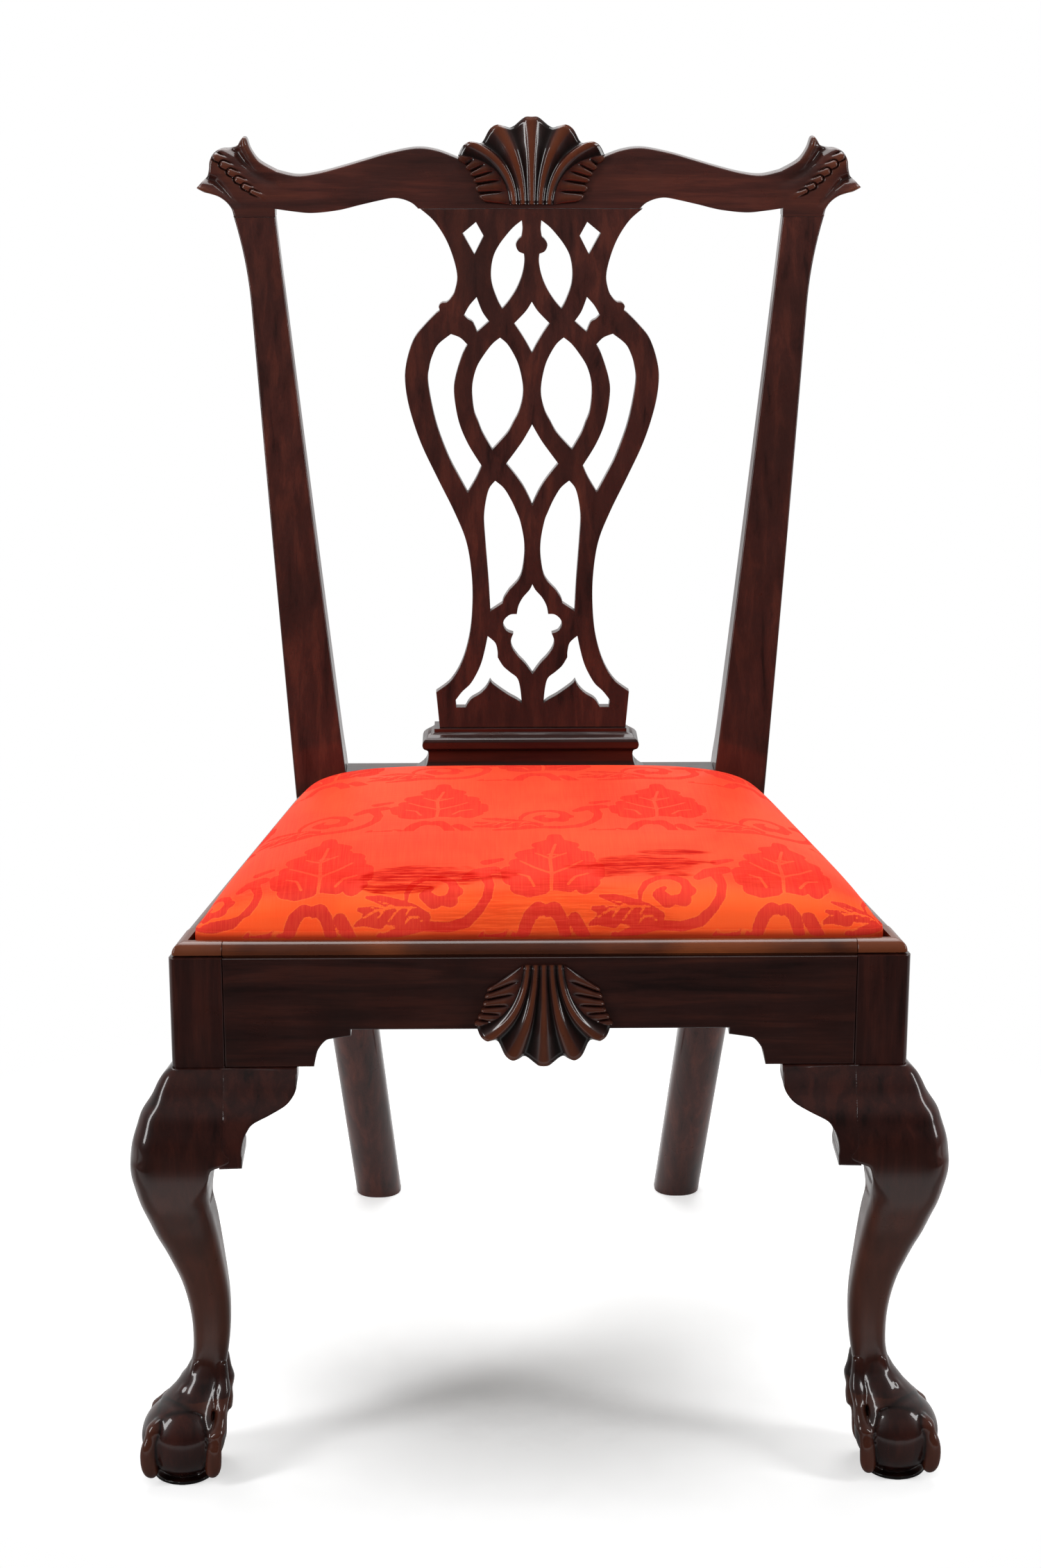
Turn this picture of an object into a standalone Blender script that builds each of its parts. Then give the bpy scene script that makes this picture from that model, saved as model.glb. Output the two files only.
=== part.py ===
"""Side chair with a pierced splat, carved shells, ball-and-claw feet and a slip seat.

The chair stands on z = 0. X runs across it, Y runs from the front rail towards the back, and
lengths are in metres. Inside this script y = 0 is the front rail's face; an empty then centres
the chair over the origin. Shares are parts of the size named beside them.
"""

import math

import bmesh
import bpy
from mathutils import Vector
from mathutils.geometry import tessellate_polygon

# Seat plan, at the height of the rails' faces
SEAT_FRONT_WIDTH = 0.564
SEAT_REAR_WIDTH = 0.415
SEAT_DEPTH = 0.412  # front rail's face to the rear posts' front faces

# Fits
FIT_GAP = 0.0003  # between neighbouring pieces
CUT_OVERRUN = 0.004  # how far a cut runs past the wood
LAP = 0.003  # how far shapes of one piece run into each other

# Seat rails, with their rabbet for the slip seat
RAIL_FACE_TOP = 0.4325
RAIL_FACE_HEIGHT = 0.0875
RAIL_ARCH_RISE = 0.030
RAIL_THICKNESS = 0.032
LIP_THICKNESS = 0.0125
LIP_RISE = 0.011
LIP_QUIRK = 0.0022
LIP_STEP = 0.001
LIP_FLAT = 0.002
LEDGE_DROP = 0.0085  # from the top of the face down to the ledge under the slip seat
ARCH_HALF_WIDTH = 0.144
ARCH_STEP_WIDTH = 0.029
TENON_LENGTH = 0.018
TENON_THICKNESS = 0.010
TENON_SHOULDER = 0.012  # wood left above and below a rail's tenon
REAR_TENON_LENGTH = 0.011
REAR_RAIL_RISE = 0.0255  # top of the rear rail over the side rails' faces
REAR_RAIL_SETBACK = 0.0045  # rear rail's upper face in front of the posts' faces
REAR_LEDGE_WIDTH = 0.016

# Front legs
POST_SIDE = 0.0415
POST_ARRIS_RADIUS = 0.006
KNEE_REACH = 0.0315
KNEE_WIDTH = 0.072
ANKLE_WIDTH = 0.028
BALL_RADIUS = 0.033
BALL_HEIGHT = 0.0655
BALL_INSET = 0.0035  # the ball's axis inside the post's corner
PAD_RADIUS = 0.0245
PAD_HEIGHT = 0.004
TALON_RADIUS = 0.0067
TALON_DEPTH_SHARE = 1.3
ANKLE_SHIFT = 0.031  # how far the ankle's middle lies behind the ball's axis

# Knee brackets
BRACKET_LENGTH = 0.055
BRACKET_HEIGHT = 0.0706
BRACKET_BACK = 0.014

# Rear posts
REAR_FOOT_SPACING = 0.289
REAR_LEG_WIDTH = 0.0425
REAR_LEG_DEPTH = 0.045
REAR_LEG_RAKE = 0.114  # how far the foot stands behind the seat
RAKE_START = 0.365
RAKE_EASE_SHARE = 0.06
REAR_LEG_ROUNDING_SHARE = 0.4
POST_SEAT_WIDTH = 0.046
STILE_TOP_WIDTH = 0.036
STILE_TOP_OUTER = 0.2565
STILE_TOP_DEPTH = 0.026
STILE_FLARE = 0.0085
STILE_FLARE_HEIGHT = 0.075
STILE_TENON_WIDTH = 0.020
STILE_TENON_DEPTH = 0.009
STILE_TENON_HEIGHT = 0.020
ARRIS_RADIUS = 0.0015
STILE_BACK_RADIUS = 0.008

# Back
BACK_LEAN = 0.0605  # how far the crest rail's foot lies behind the seat
BACK_BOW = 0.025  # what the curve adds to the lean there
CREST_JOINT_HEIGHT = 0.937
CREST_HEIGHT = 0.067
CREST_EAR_REACH = 0.032
CREST_UNDER_RISE = 0.0158
CREST_THICKNESS = 0.024
CREST_THINNING = 0.007
SPLAT_TOP_HALF = 0.0965
SPLAT_HALF_WIDTH = 0.111
SPLAT_THICKNESS = 0.011
SPLAT_TONGUE_THICKNESS = 0.006
SPLAT_TONGUE_HEIGHT = 0.011
SPLAT_TONGUE_INSET = 0.014
SHOE_HEIGHT = 0.040
SHOE_TOP_HALF = 0.085
SHOE_DEPTH = 0.026
SHOE_SWELL = 0.0105

# Shells
CREST_SHELL_HALF = 0.0635
CREST_SHELL_HEIGHT = 0.074
CREST_SHELL_BODY = 0.0135
SEAT_SHELL_HALF = 0.051
SEAT_SHELL_HEIGHT = 0.079
SEAT_SHELL_TOP = 0.0055  # below the top of the rail's face
SHELL_RELIEF = 0.011
SHELL_RIB_DEPTH = 0.0042
FEATHER_DEPTH = 0.0018

# Glue blocks
BLOCK_SIZE = 0.040
BLOCK_GAP = 0.0006
BLOCK_DROP = 0.006
BLOCK_HEIGHT = 0.040
BLOCK_HOLLOW_SHARES = (0.35, 0.65)  # place of the inner curve's bend between its ends

# Slip seat
SEAT_CLEARANCE = 0.0012
COVER_THICKNESS = 0.0012
COVER_HEM = 0.022
COVER_CORNER = 0.014
FRAME_THICKNESS = 0.019
FRAME_MEMBER_WIDTH = 0.052
WEBBING_WIDTH = 0.050
WEBBING_THICKNESS = 0.0012
WEBBING_LAP = 0.030
WEBBING_ROW_SHARES = (0.19, 0.5, 0.81)
WEBBING_COLUMN_SHARES = (-0.66, 0.0, 0.66)
SACKCLOTH_THICKNESS = 0.0008
CROWN_EDGE = 0.001  # straight side of the stuffing under its crown
CROWN_HEIGHT = 0.038
CROWN_DRAW = 0.003  # how far the cover's sides lean in up to the crown

CURVE_STEPS = 3
SPLAT_STEPS = 2
SHARP_ANGLE = 35
FLAT_ANGLE = 0.01
RAIL_STATIONS = 6
BALL_SEGMENTS = 18
TALON_SEGMENTS = 8
CLOSE_POINTS = 1e-6
WOOD = (0.055, 0.017, 0.010)
WOOD_DARK = (0.036, 0.012, 0.008)
WOOD_PLAIN = (0.22, 0.13, 0.07)
LINEN = (0.42, 0.34, 0.23)
HAIR = (0.10, 0.08, 0.06)
DAMASK = (0.80, 0.045, 0.018)

# Levels worked out from the sizes above
RAIL_FOOT = RAIL_FACE_TOP - RAIL_FACE_HEIGHT
LIP_TOP = RAIL_FACE_TOP + LIP_RISE
LEDGE = RAIL_FACE_TOP - LEDGE_DROP
REAR_RAIL_TOP = RAIL_FACE_TOP + REAR_RAIL_RISE
SHOE_TOP = REAR_RAIL_TOP + FIT_GAP + SHOE_HEIGHT
UNDER_SHARES = (0.443, 0.734, 0.937, 1.0, 0.886, 0.633, 0.354, 0.209, 0.285, 0.43)
SPLAT_TOP = CREST_JOINT_HEIGHT + UNDER_SHARES[0] * CREST_UNDER_RISE
HALF_FRONT = SEAT_FRONT_WIDTH / 2
HALF_REAR = SEAT_REAR_WIDTH / 2
SEAT_TAPER = (HALF_FRONT - HALF_REAR) / SEAT_DEPTH
FRONT_REACH = max(KNEE_REACH, BALL_RADIUS - BALL_INSET)
REAR_REACH = SEAT_DEPTH + REAR_LEG_RAKE + REAR_LEG_DEPTH
CHAIR_CENTRE = (REAR_REACH - FRONT_REACH) / 2
FRAME_INSET = SEAT_CLEARANCE + COVER_THICKNESS + FIT_GAP
FRAME_FOOT = LEDGE + COVER_THICKNESS + 2 * FIT_GAP
FRAME_TOP = FRAME_FOOT + FRAME_THICKNESS
CLOTH_FLOOR = FRAME_TOP + 2 * WEBBING_THICKNESS + 3 * FIT_GAP
STUFFING_FLOOR = CLOTH_FLOOR + SACKCLOTH_THICKNESS + FIT_GAP
CROWN_FOOT = STUFFING_FLOOR + CROWN_EDGE

# Heights at which long shapes follow their curves: shares of the leg's rake, the stile, the crest
# rail and the splat
REAR_LEG_LEVEL_SHARES = (0.0, 0.25, 0.5, 0.7, 0.82, 0.9, 0.96)
STILE_LEVEL_SHARES = (0.08, 0.25, 0.45, 0.65, 0.8, 0.88, 0.94, 1.0)
CREST_LEVEL_SHARES = (0.3, 0.6, 0.85)
SPLAT_LEVEL_SHARES = (0.15, 0.3, 0.45, 0.6, 0.75, 0.9)

# Half of the splat's edge from the crest rail down to the shoe: shares of the half width and
# of the height above the shoe
SPLAT_EDGE_SHARES = (
    ((0.87, 1.0), (0.757, 0.975), (0.653, 0.933), (0.587, 0.879), (0.604, 0.845), (0.645, 0.828)),
    ((0.645, 0.828), (0.67, 0.8235), (0.705, 0.8225), (0.73, 0.816), (0.725, 0.808), (0.745, 0.804)),
    ((0.745, 0.804), (0.838, 0.781), (0.928, 0.753), (0.986, 0.71), (0.998, 0.672), (0.964, 0.621),
     (0.878, 0.556), (0.748, 0.488), (0.617, 0.423), (0.523, 0.365), (0.482, 0.302), (0.477, 0.241),
     (0.5, 0.183), (0.559, 0.131), (0.649, 0.093), (0.768, 0.07)),
    ((0.768, 0.07), (0.741, 0.0)),
)

# Openings of the splat's right half. Each is a closed chain of smooth runs that meet at corners.
SPLAT_SIDE_OPENINGS_SHARES = (
    # small lozenge under the crest rail
    (((0.436, 0.975), (0.54, 0.954)), ((0.54, 0.954), (0.449, 0.914)),
     ((0.449, 0.914), (0.377, 0.949)), ((0.377, 0.949), (0.436, 0.975))),
    # teardrop beside the stem, with the stem's knob
    (((0.077, 0.978), (0.135, 0.967), (0.189, 0.953), (0.252, 0.933), (0.297, 0.912),
      (0.318, 0.885), (0.311, 0.858), (0.27, 0.829), (0.232, 0.811)),
     ((0.232, 0.811), (0.177, 0.827), (0.12, 0.849), (0.078, 0.874), (0.058, 0.899), (0.061, 0.915)),
     ((0.061, 0.915), (0.104, 0.92), (0.124, 0.932), (0.104, 0.942), (0.081, 0.947)),
     ((0.081, 0.947), (0.072, 0.962), (0.077, 0.978))),
    # kite with the volute
    (((0.433, 0.833), (0.49, 0.817), (0.532, 0.799)),
     ((0.532, 0.799), (0.505, 0.792), (0.461, 0.785), (0.429, 0.767)),
     ((0.429, 0.767), (0.336, 0.787)), ((0.336, 0.787), (0.39, 0.806), (0.433, 0.833))),
    # long outer opening
    (((0.636, 0.763), (0.563, 0.756), (0.507, 0.743)),
     ((0.507, 0.743), (0.55, 0.722), (0.604, 0.679), (0.613, 0.647), (0.577, 0.596), (0.505, 0.553),
      (0.399, 0.511)),
     ((0.399, 0.511), (0.441, 0.488), (0.509, 0.46)),
     ((0.509, 0.46), (0.572, 0.488), (0.662, 0.531), (0.757, 0.596), (0.815, 0.668), (0.806, 0.701),
      (0.779, 0.724), (0.734, 0.744), (0.636, 0.763))),
    # inner oval
    (((0.25, 0.756), (0.311, 0.744), (0.378, 0.723), (0.432, 0.701), (0.464, 0.674), (0.47, 0.648),
      (0.455, 0.616), (0.423, 0.595), (0.387, 0.573), (0.313, 0.542)),
     ((0.313, 0.542), (0.198, 0.573), (0.144, 0.596), (0.102, 0.616), (0.074, 0.643), (0.074, 0.668),
      (0.102, 0.701), (0.14, 0.723), (0.194, 0.744), (0.25, 0.756))),
    # long lower opening
    (((0.292, 0.482), (0.338, 0.468), (0.365, 0.445), (0.381, 0.412), (0.372, 0.371), (0.359, 0.329),
      (0.345, 0.284), (0.333, 0.229)),
     ((0.333, 0.229), (0.24, 0.244)), ((0.24, 0.244), (0.225, 0.255), (0.185, 0.27)),
     ((0.185, 0.27), (0.099, 0.295), (0.068, 0.33), (0.066, 0.365), (0.095, 0.403), (0.126, 0.423),
      (0.167, 0.445), (0.225, 0.468), (0.292, 0.482))),
    # opening over the foot, with its ogee
    (((0.356, 0.18), (0.297, 0.167), (0.279, 0.151), (0.277, 0.138)),
     ((0.277, 0.138), (0.234, 0.121), (0.18, 0.109), (0.122, 0.097), (0.099, 0.077), (0.087, 0.048)),
     ((0.087, 0.048), (0.126, 0.055), (0.198, 0.065), (0.306, 0.084), (0.338, 0.093)),
     ((0.338, 0.093), (0.369, 0.079), (0.423, 0.066), (0.495, 0.055), (0.535, 0.04)),
     ((0.535, 0.04), (0.607, 0.04)), ((0.607, 0.04), (0.613, 0.054)),
     ((0.613, 0.054), (0.559, 0.071), (0.495, 0.086), (0.441, 0.108), (0.405, 0.129), (0.378, 0.154),
      (0.356, 0.18))),
)

# Right halves of the openings that lie on the middle line, from top to bottom
SPLAT_MIDDLE_OPENINGS_SHARES = (
    (((0.0, 0.824), (0.048, 0.806), (0.139, 0.783)),
     ((0.139, 0.783), (0.086, 0.764), (0.036, 0.744), (0.0, 0.727))),
    (((0.0, 0.59), (0.039, 0.573), (0.09, 0.553), (0.205, 0.515)),
     ((0.205, 0.515), (0.117, 0.488), (0.063, 0.468), (0.018, 0.446), (0.0, 0.435))),
    (((0.0, 0.281), (0.024, 0.27), (0.077, 0.255), (0.111, 0.239), (0.124, 0.223)),
     ((0.124, 0.223), (0.176, 0.222), (0.221, 0.213), (0.231, 0.202), (0.203, 0.19), (0.152, 0.185)),
     ((0.152, 0.185), (0.171, 0.171), (0.158, 0.156), (0.113, 0.14), (0.059, 0.126), (0.0, 0.106))),
)

# Underside of the crest rail from the splat to the stile: shares of the gap between them
UNDER_SPAN_SHARES = (0.0, 0.044, 0.109, 0.177, 0.262, 0.407, 0.56, 0.738, 0.867, 1.0)

# Ear: shares of its reach past the stile and of the crest rail's height
EAR_SHARES = (
    ((0.0, 0.0), (0.056, 0.097), (0.203, 0.187), (0.406, 0.254), (0.625, 0.29), (0.81, 0.313), (1.0, 0.366)),
    ((1.0, 0.366), (0.87, 0.433), (0.72, 0.507), (0.666, 0.597), (0.641, 0.70), (0.531, 0.80),
     (0.328, 0.85), (0.109, 0.858), (-0.094, 0.888), (-0.188, 0.955), (-0.266, 1.0)),
    ((-0.266, 1.0), (-0.359, 0.978), (-0.469, 0.843), (-0.703, 0.70), (-1.172, 0.575)),
)

# Top of the crest rail from the ear to the shell: shares of the stile's outer reach and the height
CREST_TOP_SHARES = (
    (0.7875, 0.522), (0.717, 0.552), (0.632, 0.634), (0.55, 0.724), (0.472, 0.806), (0.382, 0.866),
    (0.312, 0.836), (0.242, 0.739),
)

# Shells: the rim over the lateral count t, in shares of half width and height. A rib lies at every
# half of t. The feathers' ends then run from the rim's corner back towards the hinge.
CREST_RIM_SHARES = (
    (0.0, 0.0, 1.0), (0.12, 0.1, 0.995), (0.25, 0.26, 0.895), (0.38, 0.37, 0.895), (0.5, 0.47, 0.91),
    (0.62, 0.57, 0.86), (0.75, 0.67, 0.72), (0.88, 0.75, 0.71), (1.0, 0.84, 0.715), (1.15, 0.945, 0.66),
    (1.25, 1.0, 0.57),
)
SEAT_RIM_SHARES = (
    (0.0, 0.0, 1.0), (0.12, 0.1, 0.99), (0.25, 0.27, 0.915), (0.38, 0.36, 0.925), (0.5, 0.47, 0.94),
    (0.62, 0.58, 0.89), (0.75, 0.68, 0.765), (0.88, 0.77, 0.745), (1.0, 0.85, 0.745), (1.15, 0.955, 0.69),
    (1.25, 1.0, 0.615),
)
CREST_FEATHER_SHARES = (
    (1.0, 0.57), (0.88, 0.455), (0.82, 0.377), (0.77, 0.31), (0.74, 0.234), (0.72, 0.13), (0.62, 0.02),
)
SEAT_FEATHER_SHARES = (
    (1.0, 0.615), (0.955, 0.55), (0.9, 0.48), (0.87, 0.42), (0.84, 0.35), (0.82, 0.28), (0.77, 0.21),
)
SHELL_LAST_RIB_SHARE = 1.25
FAN_COLUMNS = 40
FAN_ROWS = 6
SHELL_HINGE_SHARE = 0.3
SHELL_BEND_SHARES = (0.34, 0.49)
DOME_FOOT_SHARE = 0.45  # relief at the hinge, then what it gains and gives up again towards the rim
DOME_RISE_SHARE = 0.75
DOME_RISE_END_SHARE = 0.714
DOME_FALL_SHARE = 0.25
DOME_SIDE_SHARE = 0.2
RIB_HINGE_SHARE = 0.35  # depth of the flutes at the hinge
FEATHER_FOLD_SHARE = 0.45

# Front leg from the knee down: height share of the rail's foot, reach share of the knee's reach,
# width share between ankle (0) and knee (1), corner radius share of the width
LEG_SHARES = (
    (1.0, 0.03, 0.32, 0.12), (0.988, 0.175, 0.43, 0.16), (0.971, 0.3, 0.52, 0.19), (0.942, 0.46, 0.635, 0.21),
    (0.91, 0.7, 0.81, 0.23), (0.878, 0.825, 0.893, 0.25), (0.843, 0.94, 0.965, 0.26), (0.803, 1.0, 1.0, 0.27),
    (0.796, 1.0, 0.83, 0.27), (0.77, 0.99, 0.745, 0.28), (0.7275, 0.9, 0.657, 0.29),
    (0.687, 0.787, 0.57, 0.3),
    (0.643, 0.62, 0.515, 0.31), (0.6, 0.455, 0.45, 0.32), (0.5565, 0.255, 0.352, 0.33),
    (0.5145, 0.08, 0.266, 0.34), (0.4725, -0.08, 0.19, 0.36), (0.426, -0.21, 0.13, 0.38),
    (0.377, -0.305, 0.075, 0.4), (0.325, -0.35, 0.03, 0.42), (0.278, -0.34, 0.0, 0.43),
    (0.2435, -0.26, 0.02, 0.43), (0.2116, -0.1, 0.11, 0.43), (0.18, 0.19, 0.27, 0.44),
    (0.145, 0.32, 0.23, 0.45),
)

# Slant of the leg's outer side, taken up over these shares of the rail's foot
LEAN_START_SHARE = 0.5
LEAN_RANGE_SHARE = 0.25

# Ball: latitudes above the pad under it, as parts of a right angle
BALL_SHARES = (-0.5, -0.3, -0.1, 0.1, 0.3, 0.5, 0.7, 0.9)

# Talon: distance from the leg's middle and height as shares of the ball's radius, thickness as a
# share of the talon's radius, and how far the middle is still that of the ankle
TALON_SHARES = (
    (0.33, 2.69, 0.85, 0.95), (0.49, 2.16, 0.95, 0.85), (0.72, 1.74, 1.05, 0.6), (0.93, 1.55, 1.2, 0.38),
    (0.99, 1.32, 0.95, 0.18), (1.06, 1.12, 1.15, 0.05), (1.08, 0.85, 0.95, 0.0), (1.06, 0.55, 1.0, 0.0),
    (0.99, 0.31, 0.95, 0.0), (0.9, 0.15, 0.6, 0.0),
)

# Knee bracket: distance from the leg and height above its foot as shares of length and height
BRACKET_EDGE_SHARES = (
    ((0.996, 1.0), (0.998, 0.954), (1.0, 0.878), (0.985, 0.797), (0.938, 0.723), (0.84, 0.647), (0.63, 0.563),
     (0.398, 0.474), (0.31, 0.388), (0.26, 0.299), (0.237, 0.178), (0.246, 0.1), (0.242, 0.0)),
)

# Step of the rails' lower edge: distance from the arch's end towards the leg and height below
# the arch, as shares of the step's width and of the arch's rise
STEP_SHARES = (
    ((0.0, 0.17), (0.47, 0.24), (0.67, 0.3), (0.86, 0.53), (0.93, 0.75), (0.98, 1.0)),
)

# Shoe: height share and swell share past its top fillet
SHOE_SHARES = (
    (0.0, 1.6), (0.08, 1.1), (0.2, 0.7), (0.38, 0.52), (0.52, 0.55), (0.6, 0.9), (0.7, 1.0), (0.8, 0.8),
    (0.88, 0.25), (0.92, 0.0), (1.0, 0.0),
)

# Cover's crown from the middle to the edge: plan shares, and the exponents of its edge
CROWN_RING_SHARES = (0.06, 0.32, 0.6, 0.78, 0.89, 0.95, 0.985, 1.0)
CROWN_SHOULDER_SHARE = 0.8
CROWN_SQUARENESS = 4
CROWN_FULLNESS = 0.5


def clear_scene():
    for thing in list(bpy.data.objects):
        bpy.data.objects.remove(thing, do_unlink=True)


def make_material(name, colour, roughness):
    material = bpy.data.materials.new(name)
    material.use_nodes = True
    shader = material.node_tree.nodes["Principled BSDF"]
    shader.inputs["Base Color"].default_value = (*colour, 1.0)
    shader.inputs["Roughness"].default_value = roughness
    shader.inputs["Metallic"].default_value = 0.0
    return material


def make_empty(name, place, parent=None):
    empty = bpy.data.objects.new(name, None)
    empty.location = place
    empty.parent = parent
    bpy.context.collection.objects.link(empty)
    return empty


def make_object(name, shape, material, parent=None, origin=(0.0, 0.0, 0.0)):
    """Turn a bmesh in chair coordinates into an object whose own origin is at the given point."""
    bmesh.ops.recalc_face_normals(shape, faces=shape.faces)
    bmesh.ops.translate(shape, verts=shape.verts, vec=-Vector(origin))
    mesh = bpy.data.meshes.new(name)
    shape.to_mesh(mesh)
    shape.free()
    mesh.materials.append(material)
    mesh.shade_smooth()
    mesh.set_sharp_from_angle(angle=math.radians(SHARP_ANGLE))
    made = bpy.data.objects.new(name, mesh)
    made.location = origin
    made.parent = parent
    bpy.context.collection.objects.link(made)
    return made


def combine(target, tools, operation):
    """Join other shapes to a piece or cut them out of it, and drop the shapes."""
    for tool in tools:
        tool.parent = target.parent
        modifier = target.modifiers.new(operation.lower(), "BOOLEAN")
        modifier.operation = operation
        modifier.object = tool
        modifier.solver = "EXACT"
    bpy.context.view_layer.update()
    depsgraph = bpy.context.evaluated_depsgraph_get()
    mesh = bpy.data.meshes.new_from_object(target.evaluated_get(depsgraph))
    mesh.shade_smooth()
    mesh.set_sharp_from_angle(angle=math.radians(SHARP_ANGLE))
    target.modifiers.clear()
    target.data = mesh
    for tool in tools:
        bpy.data.objects.remove(tool, do_unlink=True)
    return target


def cubic(before, start, end, after, t):
    """Value at t of the smooth curve from start to end that heads as its neighbours ask."""
    slope = (end - before) * t
    bend = (2 * before - 5 * start + 4 * end - after) * t * t
    turn = (3 * start - before - 3 * end + after) * t ** 3
    return start + (slope + bend + turn) / 2


def smooth_run(points, steps):
    """Points along a Catmull-Rom curve through the given ones, without the last."""
    if len(points) == 2:
        return [points[0]]
    found = []
    for i in range(len(points) - 1):
        a = points[max(i - 1, 0)]
        b = points[i]
        c = points[i + 1]
        d = points[min(i + 2, len(points) - 1)]
        for k in range(steps):
            t = k / steps
            found.append(tuple(cubic(*values, t) for values in zip(a, b, c, d)))
    return found


def smooth_outline(runs, steps=CURVE_STEPS):
    return [point for run in runs for point in smooth_run(run, steps)]


def table_value(table, t):
    """Smooth value at t of a table whose rows start with their own t."""
    for i in range(len(table) - 1):
        if t <= table[i + 1][0]:
            break
    share = (t - table[i][0]) / (table[i + 1][0] - table[i][0])
    rows = [table[max(i - 1, 0)], table[i], table[i + 1], table[min(i + 2, len(table) - 1)]]
    return tuple(cubic(*values, share) for values in zip(*(row[1:] for row in rows)))


def ease(share):
    share = min(max(share, 0.0), 1.0)
    return share * share * (3 - 2 * share)


def mirrored(half):
    """A closed outline from its right half, drawn from one end to the other."""
    left = [(-x, z) for x, z in reversed(half) if x > 0]
    return half + left


def loft(rings):
    """Closed solid through rings of equally many points."""
    shape = bmesh.new()
    rows = [[shape.verts.new(point) for point in ring] for ring in rings]
    count = len(rows[0])
    for low, high in zip(rows, rows[1:]):
        for i in range(count):
            j = (i + 1) % count
            shape.faces.new((low[i], low[j], high[j], high[i]))
    shape.faces.new(reversed(rows[0]))
    shape.faces.new(rows[-1])
    bmesh.ops.remove_doubles(shape, verts=shape.verts, dist=CLOSE_POINTS)
    return shape


def prism(outline, first, second):
    """Solid between two copies of an outline, each placed by its own function."""
    return loft([[first(*point) for point in outline], [second(*point) for point in outline]])


def box(low, high):
    corners = ((low[0], low[1]), (high[0], low[1]), (high[0], high[1]), (low[0], high[1]))
    return prism(corners, lambda x, y: (x, y, low[2]), lambda x, y: (x, y, high[2]))


def plate(outline, holes, front, back, levels=()):
    """Solid with holes between two curved faces, drawn in X and Z.

    The levels are heights where the faces may bend.
    """
    loops = [[Vector((x, 0.0, z)) for x, z in loop] for loop in [outline, *holes]]
    flat = bmesh.new()
    points = [flat.verts.new(point) for loop in loops for point in loop]
    for triangle in tessellate_polygon(loops):
        flat.faces.new([points[i] for i in triangle])
    flat.normal_update()
    bmesh.ops.dissolve_limit(flat, angle_limit=FLAT_ANGLE, verts=flat.verts, edges=flat.edges)
    for level in levels:
        geometry = flat.verts[:] + flat.edges[:] + flat.faces[:]
        bmesh.ops.bisect_plane(flat, geom=geometry, plane_co=(0.0, 0.0, level), plane_no=(0.0, 0.0, 1.0))
    bmesh.ops.triangulate(flat, faces=flat.faces)
    shape = bmesh.new()
    near = {v: shape.verts.new((v.co.x, front(v.co.x, v.co.z), v.co.z)) for v in flat.verts}
    far = {v: shape.verts.new((v.co.x, back(v.co.x, v.co.z), v.co.z)) for v in flat.verts}
    for face in flat.faces:
        shape.faces.new([near[v] for v in face.verts])
        shape.faces.new([far[v] for v in reversed(face.verts)])
    for edge in flat.edges:
        if len(edge.link_faces) == 1:
            a, b = edge.verts
            shape.faces.new((near[a], near[b], far[b], far[a]))
    flat.free()
    return shape


def rounded_ring(low, high, z, radii, steps):
    """Rectangle with its own radius at each corner, from the low corner round to the left."""
    (x0, y0), (x1, y1) = low, high
    corners = ((x0, y0, 1, 1, 180), (x1, y0, -1, 1, 270), (x1, y1, -1, -1, 0), (x0, y1, 1, -1, 90))
    ring = []
    for (x, y, sx, sy, start), radius in zip(corners, radii):
        for k in range(steps + 1):
            angle = math.radians(start + 90 * k / steps)
            ring.append((x + radius * (sx + math.cos(angle)), y + radius * (sy + math.sin(angle)), z))
    return ring


# Surfaces that several pieces share


def back_face(z):
    """Y of the back's front face: upright through the rails, leaning back above them."""
    share = (z - RAIL_FACE_TOP) / (CREST_JOINT_HEIGHT - RAIL_FACE_TOP)
    if share < 0:
        drop = max(1 - z / RAKE_START, 0.0)
        return SEAT_DEPTH + REAR_LEG_RAKE * (1 + RAKE_EASE_SHARE) * drop * drop / (drop + RAKE_EASE_SHARE)
    return SEAT_DEPTH + BACK_LEAN * share + BACK_BOW * share * share


def bent_line(z, foot, seat, bend, top):
    """Value at z of a line through its foot and seat values that bends once on its way to the top."""
    slope = (seat - foot) / RAIL_FACE_TOP
    if z <= bend:
        return foot + slope * z
    start = foot + slope * bend
    return start + (top - start) * (z - bend) / (CREST_JOINT_HEIGHT - bend)


def post_sides(z):
    """Inner and outer |X| of a rear post at a height."""
    inner_foot = (REAR_FOOT_SPACING - REAR_LEG_WIDTH) / 2
    inner_top = STILE_TOP_OUTER - STILE_TOP_WIDTH
    flare = max(0.0, 1 - (CREST_JOINT_HEIGHT - z) / STILE_FLARE_HEIGHT)
    inner = bent_line(z, inner_foot, HALF_REAR - POST_SEAT_WIDTH, REAR_RAIL_TOP, inner_top)
    outer = bent_line(z, inner_foot + REAR_LEG_WIDTH, HALF_REAR, RAIL_FACE_TOP, STILE_TOP_OUTER - STILE_FLARE)
    return inner, outer + STILE_FLARE * flare * flare


def side_x(y, z, inset=0.0):
    """|X| of a point that lies inside the side rail's outer face by the inset."""
    taper = (HALF_FRONT - post_sides(z)[1]) / SEAT_DEPTH
    return HALF_FRONT - taper * y - inset * math.sqrt(1 + taper * taper)


def leg_reach(z):
    """How far the front leg stands out past the post's faces at a height on the knee."""
    rows = [(-share, reach) for share, reach, _, _ in LEG_SHARES]
    return KNEE_REACH * table_value(rows, -min(z / RAIL_FOOT, 1.0))[0]


# Seat rails


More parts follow.
